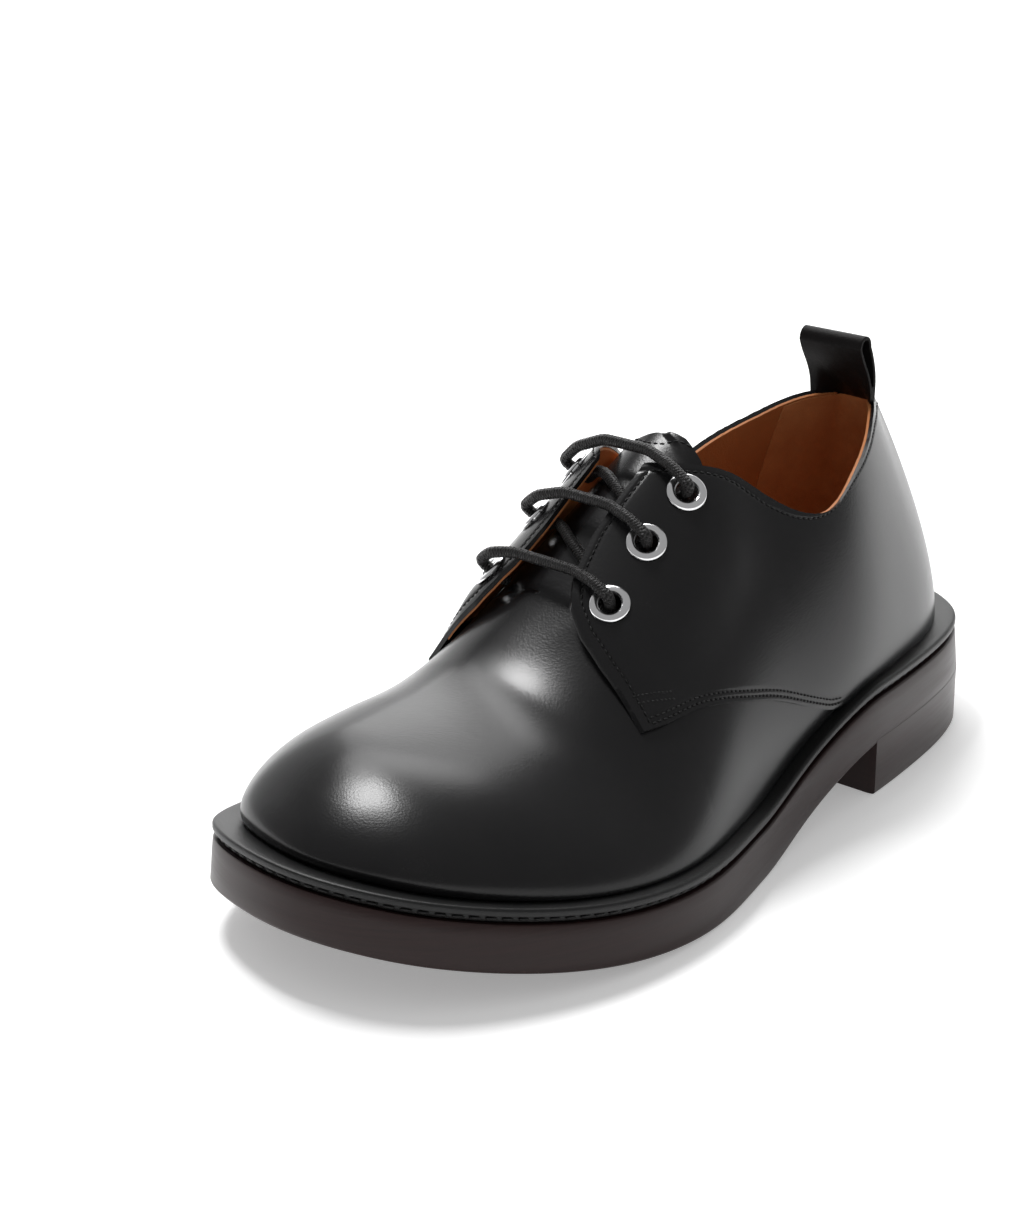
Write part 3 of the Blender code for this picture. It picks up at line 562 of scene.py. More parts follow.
# %% Outsole
top = OUTSOLE_THICK
outsole_profile = [(30.0, top), (15.0, top), (3.0, top), (0.8, top), (0.25, top - 0.15), (0.0, top - 0.6),
                   (-0.4, top * 0.7), (-0.8, top * 0.36), (-EDGE_FLARE, 1.1), (-EDGE_FLARE + 0.2, 0.45),
                   (-EDGE_FLARE + 0.65, 0.1), (-EDGE_FLARE + 1.2, 0.0), (15.0, 0.0), (30.0, 0.0)]
carry_round("outsole_plate", outsole_profile, sole_edge, ["outsole"])

# %% [markdown]
# ## The heel
# The heel is a block under the rear, flush with the outsole, cut straight across at its breast. Its ring runs
# round the back and closes along the straight breast. The two are sanded together, so the joint hardly shows:
# the block's wall laps a millimetre up over the outsole's rounded foot.

# %% Heel block
def heel_ring(inset, height, follows):
    """Round the heel's back at an inset, then straight along the breast. It follows the sole's rise by the
    given part: 1 is parallel to the outsole, 0 is level with the floor."""
    u = np.linspace(around_at(BREAST - 0.3, -1), around_at(BREAST - 0.3, 1), 261)
    x, s = edge(u, inset)
    breast = BREAST - max(inset, 0.0) * 0.4
    across = np.linspace(x[-1], x[0], 62)[1:-1]
    x = np.concatenate([x, across])
    s = np.concatenate([np.minimum(s, breast), np.full(len(across), breast)])
    return np.stack([x, s, rise(s) * follows + height], -1)


def heel_middle(height, follows):
    """The heel's middle line, with a point for each point of its ring."""
    ring = heel_ring(0.0, 0.0, 1.0)
    s = np.clip(ring[:, 1], HEEL_POLE, 80.0)
    return np.stack([s * 0.0, s, rise(s) * follows + height], -1)


FLUSH = -EDGE_FLARE - 0.03
heel_rows = [heel_middle(1.2, 1.0), heel_ring(12.0, 1.2, 1.0), heel_ring(FLUSH, 1.25, 1.0),
             heel_ring(FLUSH, -GAP, 1.0), heel_ring(-EDGE_FLARE, 9.0, 0.0), heel_ring(-EDGE_FLARE, 0.9, 0.0),
             heel_ring(0.3 - EDGE_FLARE, 0.25, 0.0), heel_ring(0.9 - EDGE_FLARE, 0.0, 0.0),
             heel_ring(12.0, 0.0, 0.0), heel_middle(0.0, 0.0)]
heel_grid = to_world(np.stack(heel_rows))
piece("heel_block", heel_grid, grid_faces(*heel_grid.shape[:2], wrap=True), sole_edge, ["heel"])

# %% [markdown]
# ## The welt and its stitched groove
# The welt is a strip of leather sewn all round over the outsole. Below its lip runs a groove, and in the
# groove lie the stitches. The strip is a closed profile carried round; the stitches are short flat capsules.

# %% Welt strip
low = OUTSOLE_THICK + GAP
high = OUTSOLE_THICK + WELT_THICK
lip = low + GROOVE_TALL
welt_profile = [(13.5, low), (GROOVE_DEEP, low), (GROOVE_DEEP, lip), (0.5, lip), (0.15, lip + 0.15),
                (0.0, lip + 0.5), (0.0, high - 1.0), (0.15, high - 0.45), (0.5, high - 0.12), (1.1, high),
                (3.0, high), (13.5, high)]
carry_round("welt_strip", welt_profile, welt_leather, ["welt"], closed=True)


# %% A row of stitches
WELT_STITCH = (4.6, 3.4, 1.1)
FOOT_STITCH = (1.9, 1.4, 0.55)
EDGE_STITCH = (2.1, 1.55, 0.55)
TONGUE_STITCH = (2.1, 1.6, 0.55)
TACK_STITCH = (1.25, 1.0, 0.5)


def stitches(name, path, out, size, cover=0.45):
    """A row of stitches along a path: flat capsules a pitch apart, each a small grid
    (cos a cos b, sin a cos b, sin b) stretched along the path's tangent, across it and outwards. The size is
    the pitch, a stitch's length and its width."""
    pitch, length, width = size
    run = np.concatenate([[0.0], np.cumsum(np.linalg.norm(np.diff(path, axis=0), axis=1))])
    count = max(int(run[-1] / pitch), 2)
    at = (np.arange(count) + 0.5) * run[-1] / count
    middle = np.stack([np.interp(at, run, path[:, k]) for k in range(3)], -1)
    ahead = np.stack([np.interp(at + 0.4, run, path[:, k]) for k in range(3)], -1)
    behind = np.stack([np.interp(at - 0.4, run, path[:, k]) for k in range(3)], -1)
    normal = np.stack([np.interp(at, run, out[:, k]) for k in range(3)], -1)
    tangent = ahead - behind
    tangent /= np.linalg.norm(tangent, axis=1)[:, None]
    normal -= tangent * (normal * tangent).sum(1)[:, None]
    normal /= np.linalg.norm(normal, axis=1)[:, None]
    across = np.cross(tangent, normal)
    a, b = np.meshgrid(np.arange(8) * math.pi / 4.0, np.linspace(-math.pi / 2, math.pi / 2, 5))
    shape = np.stack([np.sin(b) * length / 2.0, np.cos(b) * np.cos(a) * width / 2.0,
                      np.cos(b) * np.sin(a) * width * cover], -1)
    frame_of = np.stack([tangent, across, normal], 1)
    points = middle[:, None, None, :] + np.einsum("ijk,nkl->nijl", shape, frame_of)
    faces = grid_faces(5, 8, wrap=True)
    every = (faces[None] + np.arange(count)[:, None, None] * 40).reshape(-1, 4)
    return piece(name, to_world(points), every, thread_finish, sharp=80.0)


around = np.linspace(0.0, 1.0, 1441)
x, s = edge(around, GROOVE_DEEP - 0.35)
groove_path = np.stack([x, s, rise(s) + low + 0.85], -1)
x_out, s_out = edge(around, 0.0)
groove_out = np.stack([x_out - x, s_out - s, x * 0.0], -1)
groove_out /= np.linalg.norm(groove_out, axis=1)[:, None]
stitches("welt_stitches", groove_path, groove_out, WELT_STITCH, cover=0.4)

# %% [markdown]
# ## The foot bed
# The foot bed is a tan board on the welt's margin. Only its top shows through the collar.

# %% Foot bed
SEAT = GAP + 1.7 + GAP


def bed_ring(inset, height):
    """A ring inside the upper's feather line."""
    x, s = edge(ROUND_U, around_shoe(ROUND_U)[:, 2] + inset)
    return to_world(np.stack([x, s, rise(s) + OUTSOLE_THICK + WELT_THICK + height], -1))


bed_rows = [plate_spine(high + SEAT + 3.0), bed_ring(20.0, SEAT + 3.0), bed_ring(3.4, SEAT + 3.0),
            bed_ring(2.6, SEAT + 2.5), bed_ring(2.5, SEAT), bed_ring(20.0, SEAT), plate_spine(high + SEAT)]
bed_grid = np.stack(bed_rows)
piece("foot_bed", bed_grid, grid_faces(len(bed_rows), ROUND, wrap=True), tan_leather, ["insole"])

# %% [markdown]
# ## The vamp
# The vamp is one skin over the toe and up both sides to the throat. Its grid runs round the shoe from one
# waist to the other. Over the toe it closes at the crown, beside the throat it stops at the tongue's edge,
# and further back it stays low, hidden under the quarters. The Solidify modifier gives it its wall.

# %% Where the tongue's edge meets each section
def share_at_breadth(station, side, spread):
    """The share at which a section comes within the tongue's half breadth, plus a spread, of the crown."""
    shares = np.linspace(0.5, 1.0, 401)
    grid = last_form(around_at(station, side)[:, None], shares[None, :])
    crown_x = np.interp(grid[..., 1], CROWN[:, 0], CROWN[:, 1])
    half = np.interp(station, TONGUE[:, 0], TONGUE[:, 2 if side > 0 else 1])[:, None] + spread
    return shares[np.argmax(np.abs(grid[..., 0] - crown_x) < half, axis=1)]


def smooth_run(values, reach):
    """A running mean with its ends held."""
    window = np.ones(2 * reach + 1) / (2 * reach + 1)
    return np.convolve(np.pad(values, reach, mode="edge"), window, mode="valid")


THROAT_ENDS = (206.0, 184.0)
THROAT_SIDES = (0.5, 1.25)


def throat_sink(grid):
    """The grid with its middle lowered behind the throat's front, as a soft trough that the tongue and the
    vamp share: a smooth step along the shoe times a smooth step across it."""
    crown_x = np.interp(grid[..., 1], CROWN[:, 0], CROWN[:, 1])
    half = np.interp(grid[..., 1], TONGUE[:, 0], TONGUE[:, 1])
    beside = np.abs(grid[..., 0] - crown_x) / half
    sunk = grid.copy()
    sunk[..., 2] -= TONGUE_SUNK * ease(*THROAT_ENDS, grid[..., 1]) * (1.0 - ease(*THROAT_SIDES, beside))
    return sunk


# %% The vamp's skin
VAMP_BACK = 92.0
THROAT_FRONT = 187.0
VAMP_WALL = 1.2
HIDDEN_TOP = np.array([
    # station, the highest share that stays under the quarters
    (92.0, 0.08), (125.0, 0.28), (150.0, 0.66), (160.0, 1.0)])
vamp_share_rows = np.linspace(0.0, 1.0, 81)
side_stations = np.linspace(VAMP_BACK, THROAT_FRONT, 80)
toe_from = around_at(THROAT_FRONT, 1)
toe_u = np.linspace(toe_from, 1.0 - toe_from, 301)[1:-1]
under_quarter = np.interp(side_stations, HIDDEN_TOP[:, 0], HIDDEN_TOP[:, 1])
reach = [np.minimum(share_at_breadth(side_stations, side, 0.4), under_quarter) for side in (1, -1)]
reach = [smooth_run(values, 4) for values in reach]
vamp_u = np.concatenate([around_at(side_stations, 1), toe_u, around_at(side_stations[::-1], -1) % 1.0])
vamp_top = np.concatenate([reach[0], np.ones(len(toe_u)), reach[1][::-1]])
vamp_grid = throat_sink(last_form(vamp_u[None, :], vamp_share_rows[:, None] * vamp_top[None, :]))
vamp = piece("vamp", to_world(vamp_grid), grid_faces(*vamp_grid.shape[:2]), calf, ["upper"],
             sharp=60.0)
thicken = vamp.modifiers.new("wall", "SOLIDIFY")
thicken.thickness = VAMP_WALL * MM
thicken.offset = -1.0

# %% [markdown]
# ## The quarters
# The quarters wrap the heel and lap over the vamp, with the facings standing a little off the tongue. Each
# is cut from flat leather and turned at its edges, so it is a slab between two forms, blended from its foot
# edge to the collar and bent to the curve of its front edge.

# %% The collar's edge on the form
COLLAR_END = 160.0


def share_at_collar(side, grow, lifted=True):
    """For places round one side, the share at which the form reaches the collar's height."""
    u = np.linspace(0.0, around_at(COLLAR_END, 1), 241) * side
    shares = np.linspace(0.30, QUARTER_FRONT[-1, 1], 400)
    places = np.broadcast_arrays(u[None, :], shares[:, None])
    grid = quarter_form(places[0], places[1], grow) if lifted else last_form(places[0], places[1], grow)
    station = np.clip(grid[..., 1], TOPLINE[0, 0], TOPLINE[-1, 0])
    over = grid[..., 2] >= natural_curve(TOPLINE[:, 0], TOPLINE[:, 1], station)
    first = np.where(over.any(axis=0), np.argmax(over, axis=0), len(shares) - 1)
    return np.abs(u), shares[first]


SHARE_PER_ROUND = 8.0


def quarter_places(side, columns, rows):
    """(round, share) of one quarter as a grid: columns run from the heel to the front edge and rows from the
    foot to the collar. foot * (1 - j) + collar * j, plus the front edge's departure times i squared. Both
    ways the points crowd towards the sewn edges, by a cosine. Once round the shoe counts as eight shares when
    the front edge is measured."""
    i = np.sin(np.linspace(0.0, math.pi / 2.0, columns))[None, :]
    j = (0.5 - 0.5 * np.cos(np.linspace(0.0, math.pi, rows)))[:, None]
    foot_u = i * around_at(QUARTER_FOOT[-1, 0], 1)
    station = around_shoe(foot_u)[..., 0]
    foot_share = smooth_run(np.interp(station[0], QUARTER_FOOT[:, 0], QUARTER_FOOT[:, 1]), 5)[None, :]
    foot = np.stack([foot_u, foot_share], -1)
    collar_u, collar_share = share_at_collar(side, QUARTER_LAP)
    corner = np.argmax(collar_share >= QUARTER_FRONT[-1, 1] - 0.001)
    top_u = i * collar_u[corner]
    collar = np.stack([top_u, np.interp(top_u, collar_u[:corner + 1], collar_share[:corner + 1])], -1)
    front_u = around_at(QUARTER_FRONT[:, 0], 1)
    front_u[-1] = collar_u[corner]
    step = np.hypot(np.diff(front_u) * SHARE_PER_ROUND, np.diff(QUARTER_FRONT[:, 1]))
    run = np.concatenate([[0.0], np.cumsum(step)]) / step.sum()
    front = np.stack([np.interp(j, run, front_u), np.interp(j, run, QUARTER_FRONT[:, 1])], -1)
    blend = foot * (1.0 - j[..., None]) + collar * j[..., None]
    places = blend + (front - blend[:, -1:]) * (i ** 2)[..., None]
    places[..., 0] *= side
    return places


COLUMNS = 191
ROWS = 91
sides = {side: quarter_places(side, COLUMNS, ROWS) for side in (1, -1)}
whole = np.concatenate([sides[-1][:, :0:-1], sides[1]], 1)
print("quarters' grid", whole.shape)


# %% Distance from an edge and the seam's furrow
FOOT_SEAMS = (1.5, 3.2)
EDGE_SEAM = 3.0
FURROW_DEEP = 0.26
FURROW_WIDE = 0.55
FOOT_SEAM_BACK = (106.0, 112.0)
SEAM_CLEAR = (EDGE_SEAM - 0.6, EDGE_SEAM + 0.4)


def edge_run(surface, from_end=False):
    """The running length down each column of a surface grid, from its first row or its last."""
    grid = surface[::-1] if from_end else surface
    step = np.linalg.norm(np.diff(grid, axis=0), axis=-1)
    run = np.concatenate([np.zeros((1, step.shape[1])), np.cumsum(step, axis=0)])
    return run[::-1] if from_end else run


def furrow(distance, at):
    """How deep the thread has pulled the leather in: a bell curve about the seam's distance."""
    return FURROW_DEEP * np.exp(-((distance - at) / FURROW_WIDE) ** 2)


def furrowed(surface, out):
    """The quarters' outer skin with the furrows of its seams, cut along its normals."""
    station = surface[..., 1]
    foot = edge_run(surface)
    collar = edge_run(surface, True)
    across = np.swapaxes(surface, 0, 1)
    front = np.minimum(edge_run(across), edge_run(across, True)).T
    deep = sum(furrow(foot, at) for at in FOOT_SEAMS) * ease(*FOOT_SEAM_BACK, station)
    deep = np.maximum(deep * ease(*SEAM_CLEAR, front), furrow(collar, EDGE_SEAM))
    deep = np.maximum(deep, furrow(front, EDGE_SEAM) * ease(*SEAM_CLEAR, collar))
    return surface - out * deep[..., None]


# %% The eyelets' places
def facing_spot(station, share, side, spread):
    """A point of a facing's outer face and its outward normal, taken from a grid of three by three places:
    2 mm apart along the shoe and the spread apart in share."""
    near = np.array([-1.0, 0.0, 1.0])
    u = around_at(station + 2.0 * near[None, :] + np.zeros((3, 1)), side)
    grid = quarter_form(u, share + spread * near[:, None] + np.zeros((1, 3)), QUARTER_LAP)
    return grid[1, 1], normals(grid)[1, 1]


def eyelet_places():
    """Node name, place and outward direction of each eyelet."""
    for column, (side, word) in enumerate(SIDES, 1):
        for number, row in enumerate(EYELETS, 1):
            yield f"eyelet_{word}_{number}", *facing_spot(row[0], row[column], side, 0.024)


def turned(profile, place, out, count=64):
    """The profile turned about the outward direction: (r cos a, r sin a, height) in that frame."""
    across = np.cross(out, [0.0, 0.0, 1.0])
    across /= np.linalg.norm(across)
    other = np.cross(out, across)
    a = np.arange(count) * 2.0 * math.pi / count
    ring = np.cos(a)[:, None] * across + np.sin(a)[:, None] * other
    return place + profile[:, 0, None, None] * ring[None] + profile[:, 1, None, None] * out


holes = {name: (place, out) for name, place, out in eyelet_places()}


HOLE_RADIUS = 4.2
PUNCH_ENDS = (-7.0, 5.0)


def punch(made):
    """Punch the six eyelet holes through a piece, with a round punch for each, and keep the cut mesh."""
    bottom, head = PUNCH_ENDS
    punch_profile = np.array([(0.0, bottom), (HOLE_RADIUS, bottom), (HOLE_RADIUS, head), (0.0, head)])
    rings = [turned(punch_profile, place, out, 40) for place, out in holes.values()]
    cuts = np.concatenate([grid_faces(4, 40, wrap=True, start=160 * k) for k in range(len(rings))])
    tool = piece("punch", to_world(np.stack(rings)), cuts, calf)
    cut = made.modifiers.new("punch", "BOOLEAN")
    cut.operation = "DIFFERENCE"
    cut.solver = "EXACT"
    cut.object = tool
    solid = made.evaluated_get(bpy.context.evaluated_depsgraph_get())
    cut_mesh = bpy.data.meshes.new_from_object(solid)
    made.modifiers.remove(cut)
    made.data = cut_mesh
    bpy.data.objects.remove(tool)
    print(made.name, "punched:", len(cut_mesh.polygons), "faces")


# %% The quarters' leather
QUARTER_WALL = 1.7


def layer(places, outer, inner, sewn=False):
    """A slab of leather between two growths of the quarters' form."""
    faces = slab_faces(*places.shape[:2])
    skins = [quarter_form(places[..., 0], places[..., 1], grow) for grow in (outer, inner)]
    if sewn:
        skins[0] = furrowed(skins[0], normals(skins[0]))
    return np.stack(skins), faces


skins, faces = layer(whole, QUARTER_LAP, QUARTER_LAP - QUARTER_WALL, sewn=True)
quarters = piece("quarters", to_world(skins), faces, calf)
punch(quarters)
soften(quarters, 0.4, 3)

# %% [markdown]
# ## The heel seam
# The two quarters meet at the back in a closed seam, covered by a narrow tape that is pressed down hard.

# %% Heel tape
def last_slab(name, u, shares, grows, finish, bevel):
    """A layer of leather that follows the last between two growths, over places round it and shares up it,
    with its cut edges rounded."""
    places = np.broadcast_arrays(u[None, :], shares)
    skins = np.stack([last_form(places[0], places[1], grow) for grow in grows])
    soften(piece(name, to_world(skins), slab_faces(*skins.shape[1:3]), finish), bevel)


TAPE_HALF = 0.0032
tape_u = np.linspace(-TAPE_HALF, TAPE_HALF, 9)
tape_shares = np.linspace(0.0, 1.0, 61)[:, None] * (share_at_collar(1, QUARTER_LAP)[1][0] - 0.004)
last_slab("heel_tape", tape_u, tape_shares, (QUARTER_LAP + 0.45, QUARTER_LAP - 0.2), calf, 0.3)

# %% [markdown]
# ## Linings
# The collar is lined in tan leather down to the foot bed, and the facings are backed with the same. Its raw
# top edge shows inside the black rim. The heel has a lining of its own, napped side out so that it grips the
# foot: it is paler, and its front edges make an upright seam on each side.

# %% The collar's lining
LINING_FRONT = 198.0
UNDER_FACING = (134.0, 146.0)
UNDER_FACING_SHARE = 0.52


def lining_top(u, margin):
    """The share where a lining ends, a margin under the collar's edge, for places on both sides."""
    tops = {side: np.interp(np.abs(u), *share_at_collar(side, -1.0, False)) for side, word in SIDES}
    return np.where(u >= 0, tops[1], tops[-1]) - margin


lining_u = np.linspace(-around_at(LINING_FRONT, 1), around_at(LINING_FRONT, 1), 361)
under_facing = ease(*UNDER_FACING, around_shoe(lining_u)[:, 0])
lining_edge = lining_top(lining_u, 0.006) * (1.0 - under_facing) + UNDER_FACING_SHARE * under_facing
lining_shares = np.linspace(0.0, 1.0, 61)[:, None] * lining_edge[None, :]
last_slab("collar_lining", lining_u, lining_shares, (-0.45, LINING_FACE), tan_leather, 0.3)

# %% The heel's own lining
HEEL_LINING = 58.0
heel_u = np.linspace(-around_at(HEEL_LINING, 1), around_at(HEEL_LINING, 1), 161)
heel_shares = np.linspace(0.02, 1.0, 61)[:, None] * lining_top(heel_u, 0.010)[None, :]
last_slab("heel_lining", heel_u, heel_shares, (LINING_FACE - 0.02, LINING_FACE - 0.45), tan_suede,
          0.15)

# %% The facings' backing
BACKING_FOOT_ROWS = (56, 24)
BACKING_COLUMN = 78
BACKING_WALL = 0.78
backing_face = QUARTER_LAP - QUARTER_WALL - 0.02
for (side, word), foot_row in zip(SIDES, BACKING_FOOT_ROWS):
    part = sides[side][foot_row:-3, BACKING_COLUMN:-4]
    skins, faces = layer(part, backing_face, backing_face - BACKING_WALL)
    backing = piece(f"facing_backing_{word}", to_world(skins), faces, tan_leather)
    punch(backing)

# %% [markdown]
# ## The tongue
# The tongue carries the vamp's skin on under the lace and ends in a rounded top, with a row of stitches where
# its backing is turned. It is a slab between two sections of the form, sunk a little under the vamp.

# %% Tongue
tongue_stations = np.concatenate([TONGUE[0, 0] + (1.0 - np.cos(np.linspace(0.0, math.pi / 2, 24))) * 8.0,
                                  np.linspace(149.5, THROAT_FRONT + 5.0, 50)[1:]])
tongue_across = np.linspace(-1.0, 1.0, 61)
TONGUE_STRAIGHT = 158.0
TONGUE_FACES = (0.12, 2.4)
edge_share = {side: share_at_breadth(tongue_stations, side, 0.0) for side in (1, -1)}


def tongue_skin(depth):
    """The form under the lace: across runs from the medial edge over the crown to the lateral edge. The
    top slants a little back to the lateral side, as a worn-in tongue's does."""
    skew = TONGUE_SKEW * (1.0 - ease(TONGUE[0, 0], TONGUE_STRAIGHT, tongue_stations))
    grids = []
    for side in (-1, 1):
        t = np.abs(tongue_across[:31] if side < 0 else tongue_across[31:])
        share = 1.0 - (1.0 - smooth_run(edge_share[side], 1))[:, None] * t[None, :]
        back = skew[:, None] * (0.5 + 0.5 * side * t[None, :])
        u = around_at(tongue_stations[:, None] - back, side)
        grids.append(last_form(u, share, -depth))
    return throat_sink(np.concatenate(grids, 1))


tongue_skins = np.stack([tongue_skin(depth) for depth in TONGUE_FACES])
tongue = piece("tongue_leather", to_world(tongue_skins), slab_faces(*tongue_skins.shape[1:3]), calf,
               ["tongue"])
soften(tongue, 0.4)


# %% [markdown]
# ## Rows of stitches on the upper
# The maker sews along every edge at a set distance from it. Each row is read off the quarter's own surface:
# across the grid from the edge, the running length is measured and the point at the set distance taken.

# %% Rows at a distance from an edge
def row_inside(surface, distance):
    """From the first row of a surface grid, the points at a distance along each column."""
    run = edge_run(surface)
    k = np.clip((run < distance).sum(axis=0), 1, len(run) - 1)
    column = np.arange(surface.shape[1])
    t = (distance - run[k - 1, column]) / np.maximum(run[k, column] - run[k - 1, column], 1e-9)
    return surface[k - 1, column] + (surface[k, column] - surface[k - 1, column]) * t[:, None]


SEAM_ROW = 8
SEAM_START = 108.0
for side, word in SIDES:
    skin = quarter_form(sides[side][..., 0], sides[side][..., 1], QUARTER_LAP - 0.04)
    out = normals(skin)
    from_front = edge_run(np.swapaxes(skin, 0, 1), True).T
    for number, distance in enumerate(FOOT_SEAMS, 1):
        path = row_inside(skin, distance)
        shows = (path[:, 1] > SEAM_START) & (from_front[SEAM_ROW] > EDGE_SEAM)
        stitches(f"foot_seam_{word}_{number}", path[shows], out[SEAM_ROW][shows], FOOT_STITCH)
    path = row_inside(skin[::-1], EDGE_SEAM)
    shows = from_front[-1 - SEAM_ROW] > EDGE_SEAM
    stitches(f"collar_seam_{word}", path[shows], out[-1 - SEAM_ROW][shows], EDGE_STITCH)
    path = row_inside(np.swapaxes(skin, 0, 1)[::-1], EDGE_SEAM)
    column = -1 - SEAM_ROW
    shows = (edge_run(skin)[:, column] > FOOT_SEAMS[0]) & (edge_run(skin, True)[:, column] > EDGE_SEAM)
    stitches(f"front_seam_{word}", path[shows], out[:, column][shows], EDGE_STITCH)

# %% Bar tacks and the tongue's row
TACK_RUN = (-1.5, -12.5)
TACK_SLOPE = 0.0068
TACK_APART = 0.020
TONGUE_SEAM = 4.5
tack_station, tack_share = QUARTER_FRONT[1]
along = np.linspace(*TACK_RUN, 30)
beside = np.array([-0.01, 0.0, 0.01])
for side, word in SIDES:
    tack_u = around_at(tack_station + along[None, :] + np.zeros((3, 1)), side)
    for number in (1, 2):
        foot_share = tack_share + TACK_APART * (number - 2)
        rows_up = foot_share + beside[:, None] + along[None, :] * TACK_SLOPE
        patch = quarter_form(tack_u, rows_up, QUARTER_LAP + 0.02)
        stitches(f"bar_tack_{word}_{number}", patch[1], normals(patch)[1], TACK_STITCH)

tongue_top = tongue_skin(0.0)
tongue_out = normals(tongue_top)
tongue_path = row_inside(tongue_top, TONGUE_SEAM)[3:-3]
stitches("tongue_seam", tongue_path, tongue_out[12][3:-3], TONGUE_STITCH)

# %% [markdown]
# ## Eyelets
# Each eyelet is a turned ring: a broad flange with a rolled lip on the leather and a barrel through it. The
# profile is turned about the outward normal at its place on the facing.

# %% Turned eyelets
EYELET_PROFILE = np.array([
    # radius, height over the leather
    (3.3, -2.5), (3.2, 0.1), (3.3, 0.7), (3.6, 1.05), (4.1, 1.22), (4.8, 1.2), (5.4, 1.02), (5.85, 0.72),
    (6.0, 0.4), (5.85, 0.25), (4.2, 0.25), (4.1, -2.5)])


for name, (place, out) in holes.items():
    closed = np.concatenate([EYELET_PROFILE, EYELET_PROFILE[:1]])
    grid = turned(closed, place, out)
    piece(name + "_ring", to_world(grid), grid_faces(*grid.shape[:2], wrap=True), chrome, [name],
          sharp=60.0)

# %% [markdown]
# ## The lace
# One round waxed cord crosses from each lateral eyelet over both facings to the medial one, goes down through
# it and slants beneath to the next. Its corners are rounded by a running mean, because a cord can't kink.

# %% The lace's route
LACE_THICK = 3.2
LACE_SWOLLEN = 3.5
LACE_OVER_TONGUE = 2.2


def facing_edge(station, side):
    """The front edge of a facing at a station, on its outer surface."""
    share = np.interp(station, QUARTER_FRONT[::-1, 0], QUARTER_FRONT[::-1, 1])
    return facing_spot(station, share, side, 0.010)[0]


def lace_corners():
    """The corners of the route, eyelet by eyelet."""
    points = []
    for number, row in enumerate(EYELETS, 1):
        bar = []
        for side, word in SIDES:
            hole, out = holes[f"eyelet_{word}_{number}"]
            inward = np.array([-side, 0.0, 0.0])
            inward = inward - out * (inward @ out)
            rim = facing_edge(row[0], side) + np.array([0.0, 0.0, LACE_THICK / 2.0 + 0.9])
            over = hole + out * 4.7
            half = [hole - out * 4.9 + inward * 4.0, hole - out * 4.8 + inward * 0.3, hole - out * 1.0,
                    over, over * 0.55 + rim * 0.45 + out * 1.9, rim]
            bar += half if side > 0 else half[::-1]
        points += bar
        if number < len(EYELETS):
            after = EYELETS[number]
            for way in np.linspace(0.12, 0.88, 9):
                side = 1 if way > 0.5 else -1
                start = after[1] if side > 0 else row[2]
                share = 1.0 - (1.0 - start) * abs(2.0 * way - 1.0)
                station = row[0] + (after[0] - row[0]) * way
                points.append(last_form(around_at(station, side), share, LACE_OVER_TONGUE))
    return np.array(points)


def rounded(corners, reach, spacing):
    """The corners joined, rounded by two running means and spaced evenly."""
    run = np.concatenate([[0.0], np.cumsum(np.linalg.norm(np.diff(corners, axis=0), axis=1))])
    steps = np.arange(0.0, run[-1], 0.25)
    line = np.stack([np.interp(steps, run, corners[:, k]) for k in range(3)], -1)
    for _ in range(2):
        line = np.stack([smooth_run(line[:, k], reach) for k in range(3)], -1)
    run = np.concatenate([[0.0], np.cumsum(np.linalg.norm(np.diff(line, axis=0), axis=1))])
    places = np.linspace(0.0, run[-1], int(round(run[-1] / spacing)) + 1)
    return np.stack([np.interp(places, run, line[:, k]) for k in range(3)], -1), run[-1]


# %% The lace's braid
def cord_tube(line, radius, around_count=28):
    """A tube along a line: frames carried without twist, and a radius that swells where two opposite
    helices of strands cross, r (1 + 0.05 cos(4a + kt) cos(4a - kt)) with t the running length."""
    tangent = np.gradient(line, axis=0)
    step = np.linalg.norm(tangent, axis=1)
    tangent /= step[:, None]
    side = np.cross(tangent, np.array([0.15, 0.98, 0.1]))
    side /= np.linalg.norm(side, axis=1)[:, None]
    other = np.cross(tangent, side)
    a = np.arange(around_count)[None, :] * 2.0 * math.pi / around_count
    kt = 2.4 * np.cumsum(step)[:, None]
    swell = radius * (0.98 + 0.05 * np.cos(4.0 * a + kt) * np.cos(4.0 * a - kt))
    swell[[0, -1]] *= 0.55
    ring = np.cos(a)[..., None] * side[:, None, :] + np.sin(a)[..., None] * other[:, None, :]
    tube = line[:, None, :] + swell[..., None] * ring
    caps = line[[0, -1]][:, None, :] + np.zeros((1, around_count, 3))
    return np.concatenate([caps[:1], tube, caps[1:]])


lace_line, lace_length = rounded(lace_corners(), 6, 0.22)
lace_grid = cord_tube(lace_line, LACE_SWOLLEN / 2.0)
lace_ways = [np.linspace(0.0, 1.0, count) for count in lace_grid.shape[:2]]
lace_uv = np.stack(np.meshgrid(*lace_ways, indexing="ij"), -1)
piece("lace_cord", to_world(lace_grid), grid_faces(*lace_grid.shape[:2], wrap=True), cord_finish, ["lace"],
      uv=lace_uv, sharp=80.0)
print("lace", round(float(lace_length), 1), "mm")

# %% [markdown]
# ## The pull loop
# The pull loop is a strap folded over and sewn in at the back of the collar. Its outline in side view is
# carried across its breadth, with the foot curved to the collar and the fold straight.

# %% Pull loop
PULL_LOOP = np.array([
    # height, station of its back face, station of its front face
    (110.4, 42.0, 44.5), (113.0, 42.9, 45.5), (117.5, 43.8, 47.2), (123.5, 45.1, 50.4), (128.5, 46.7, 53.2),
    (131.0, 47.8, 54.2)])
LOOP_BREADTH = 24.0
LOOP_STRAP = 1.2
LOOP_CAP = 4.0
LOOP_FADE = 14.0


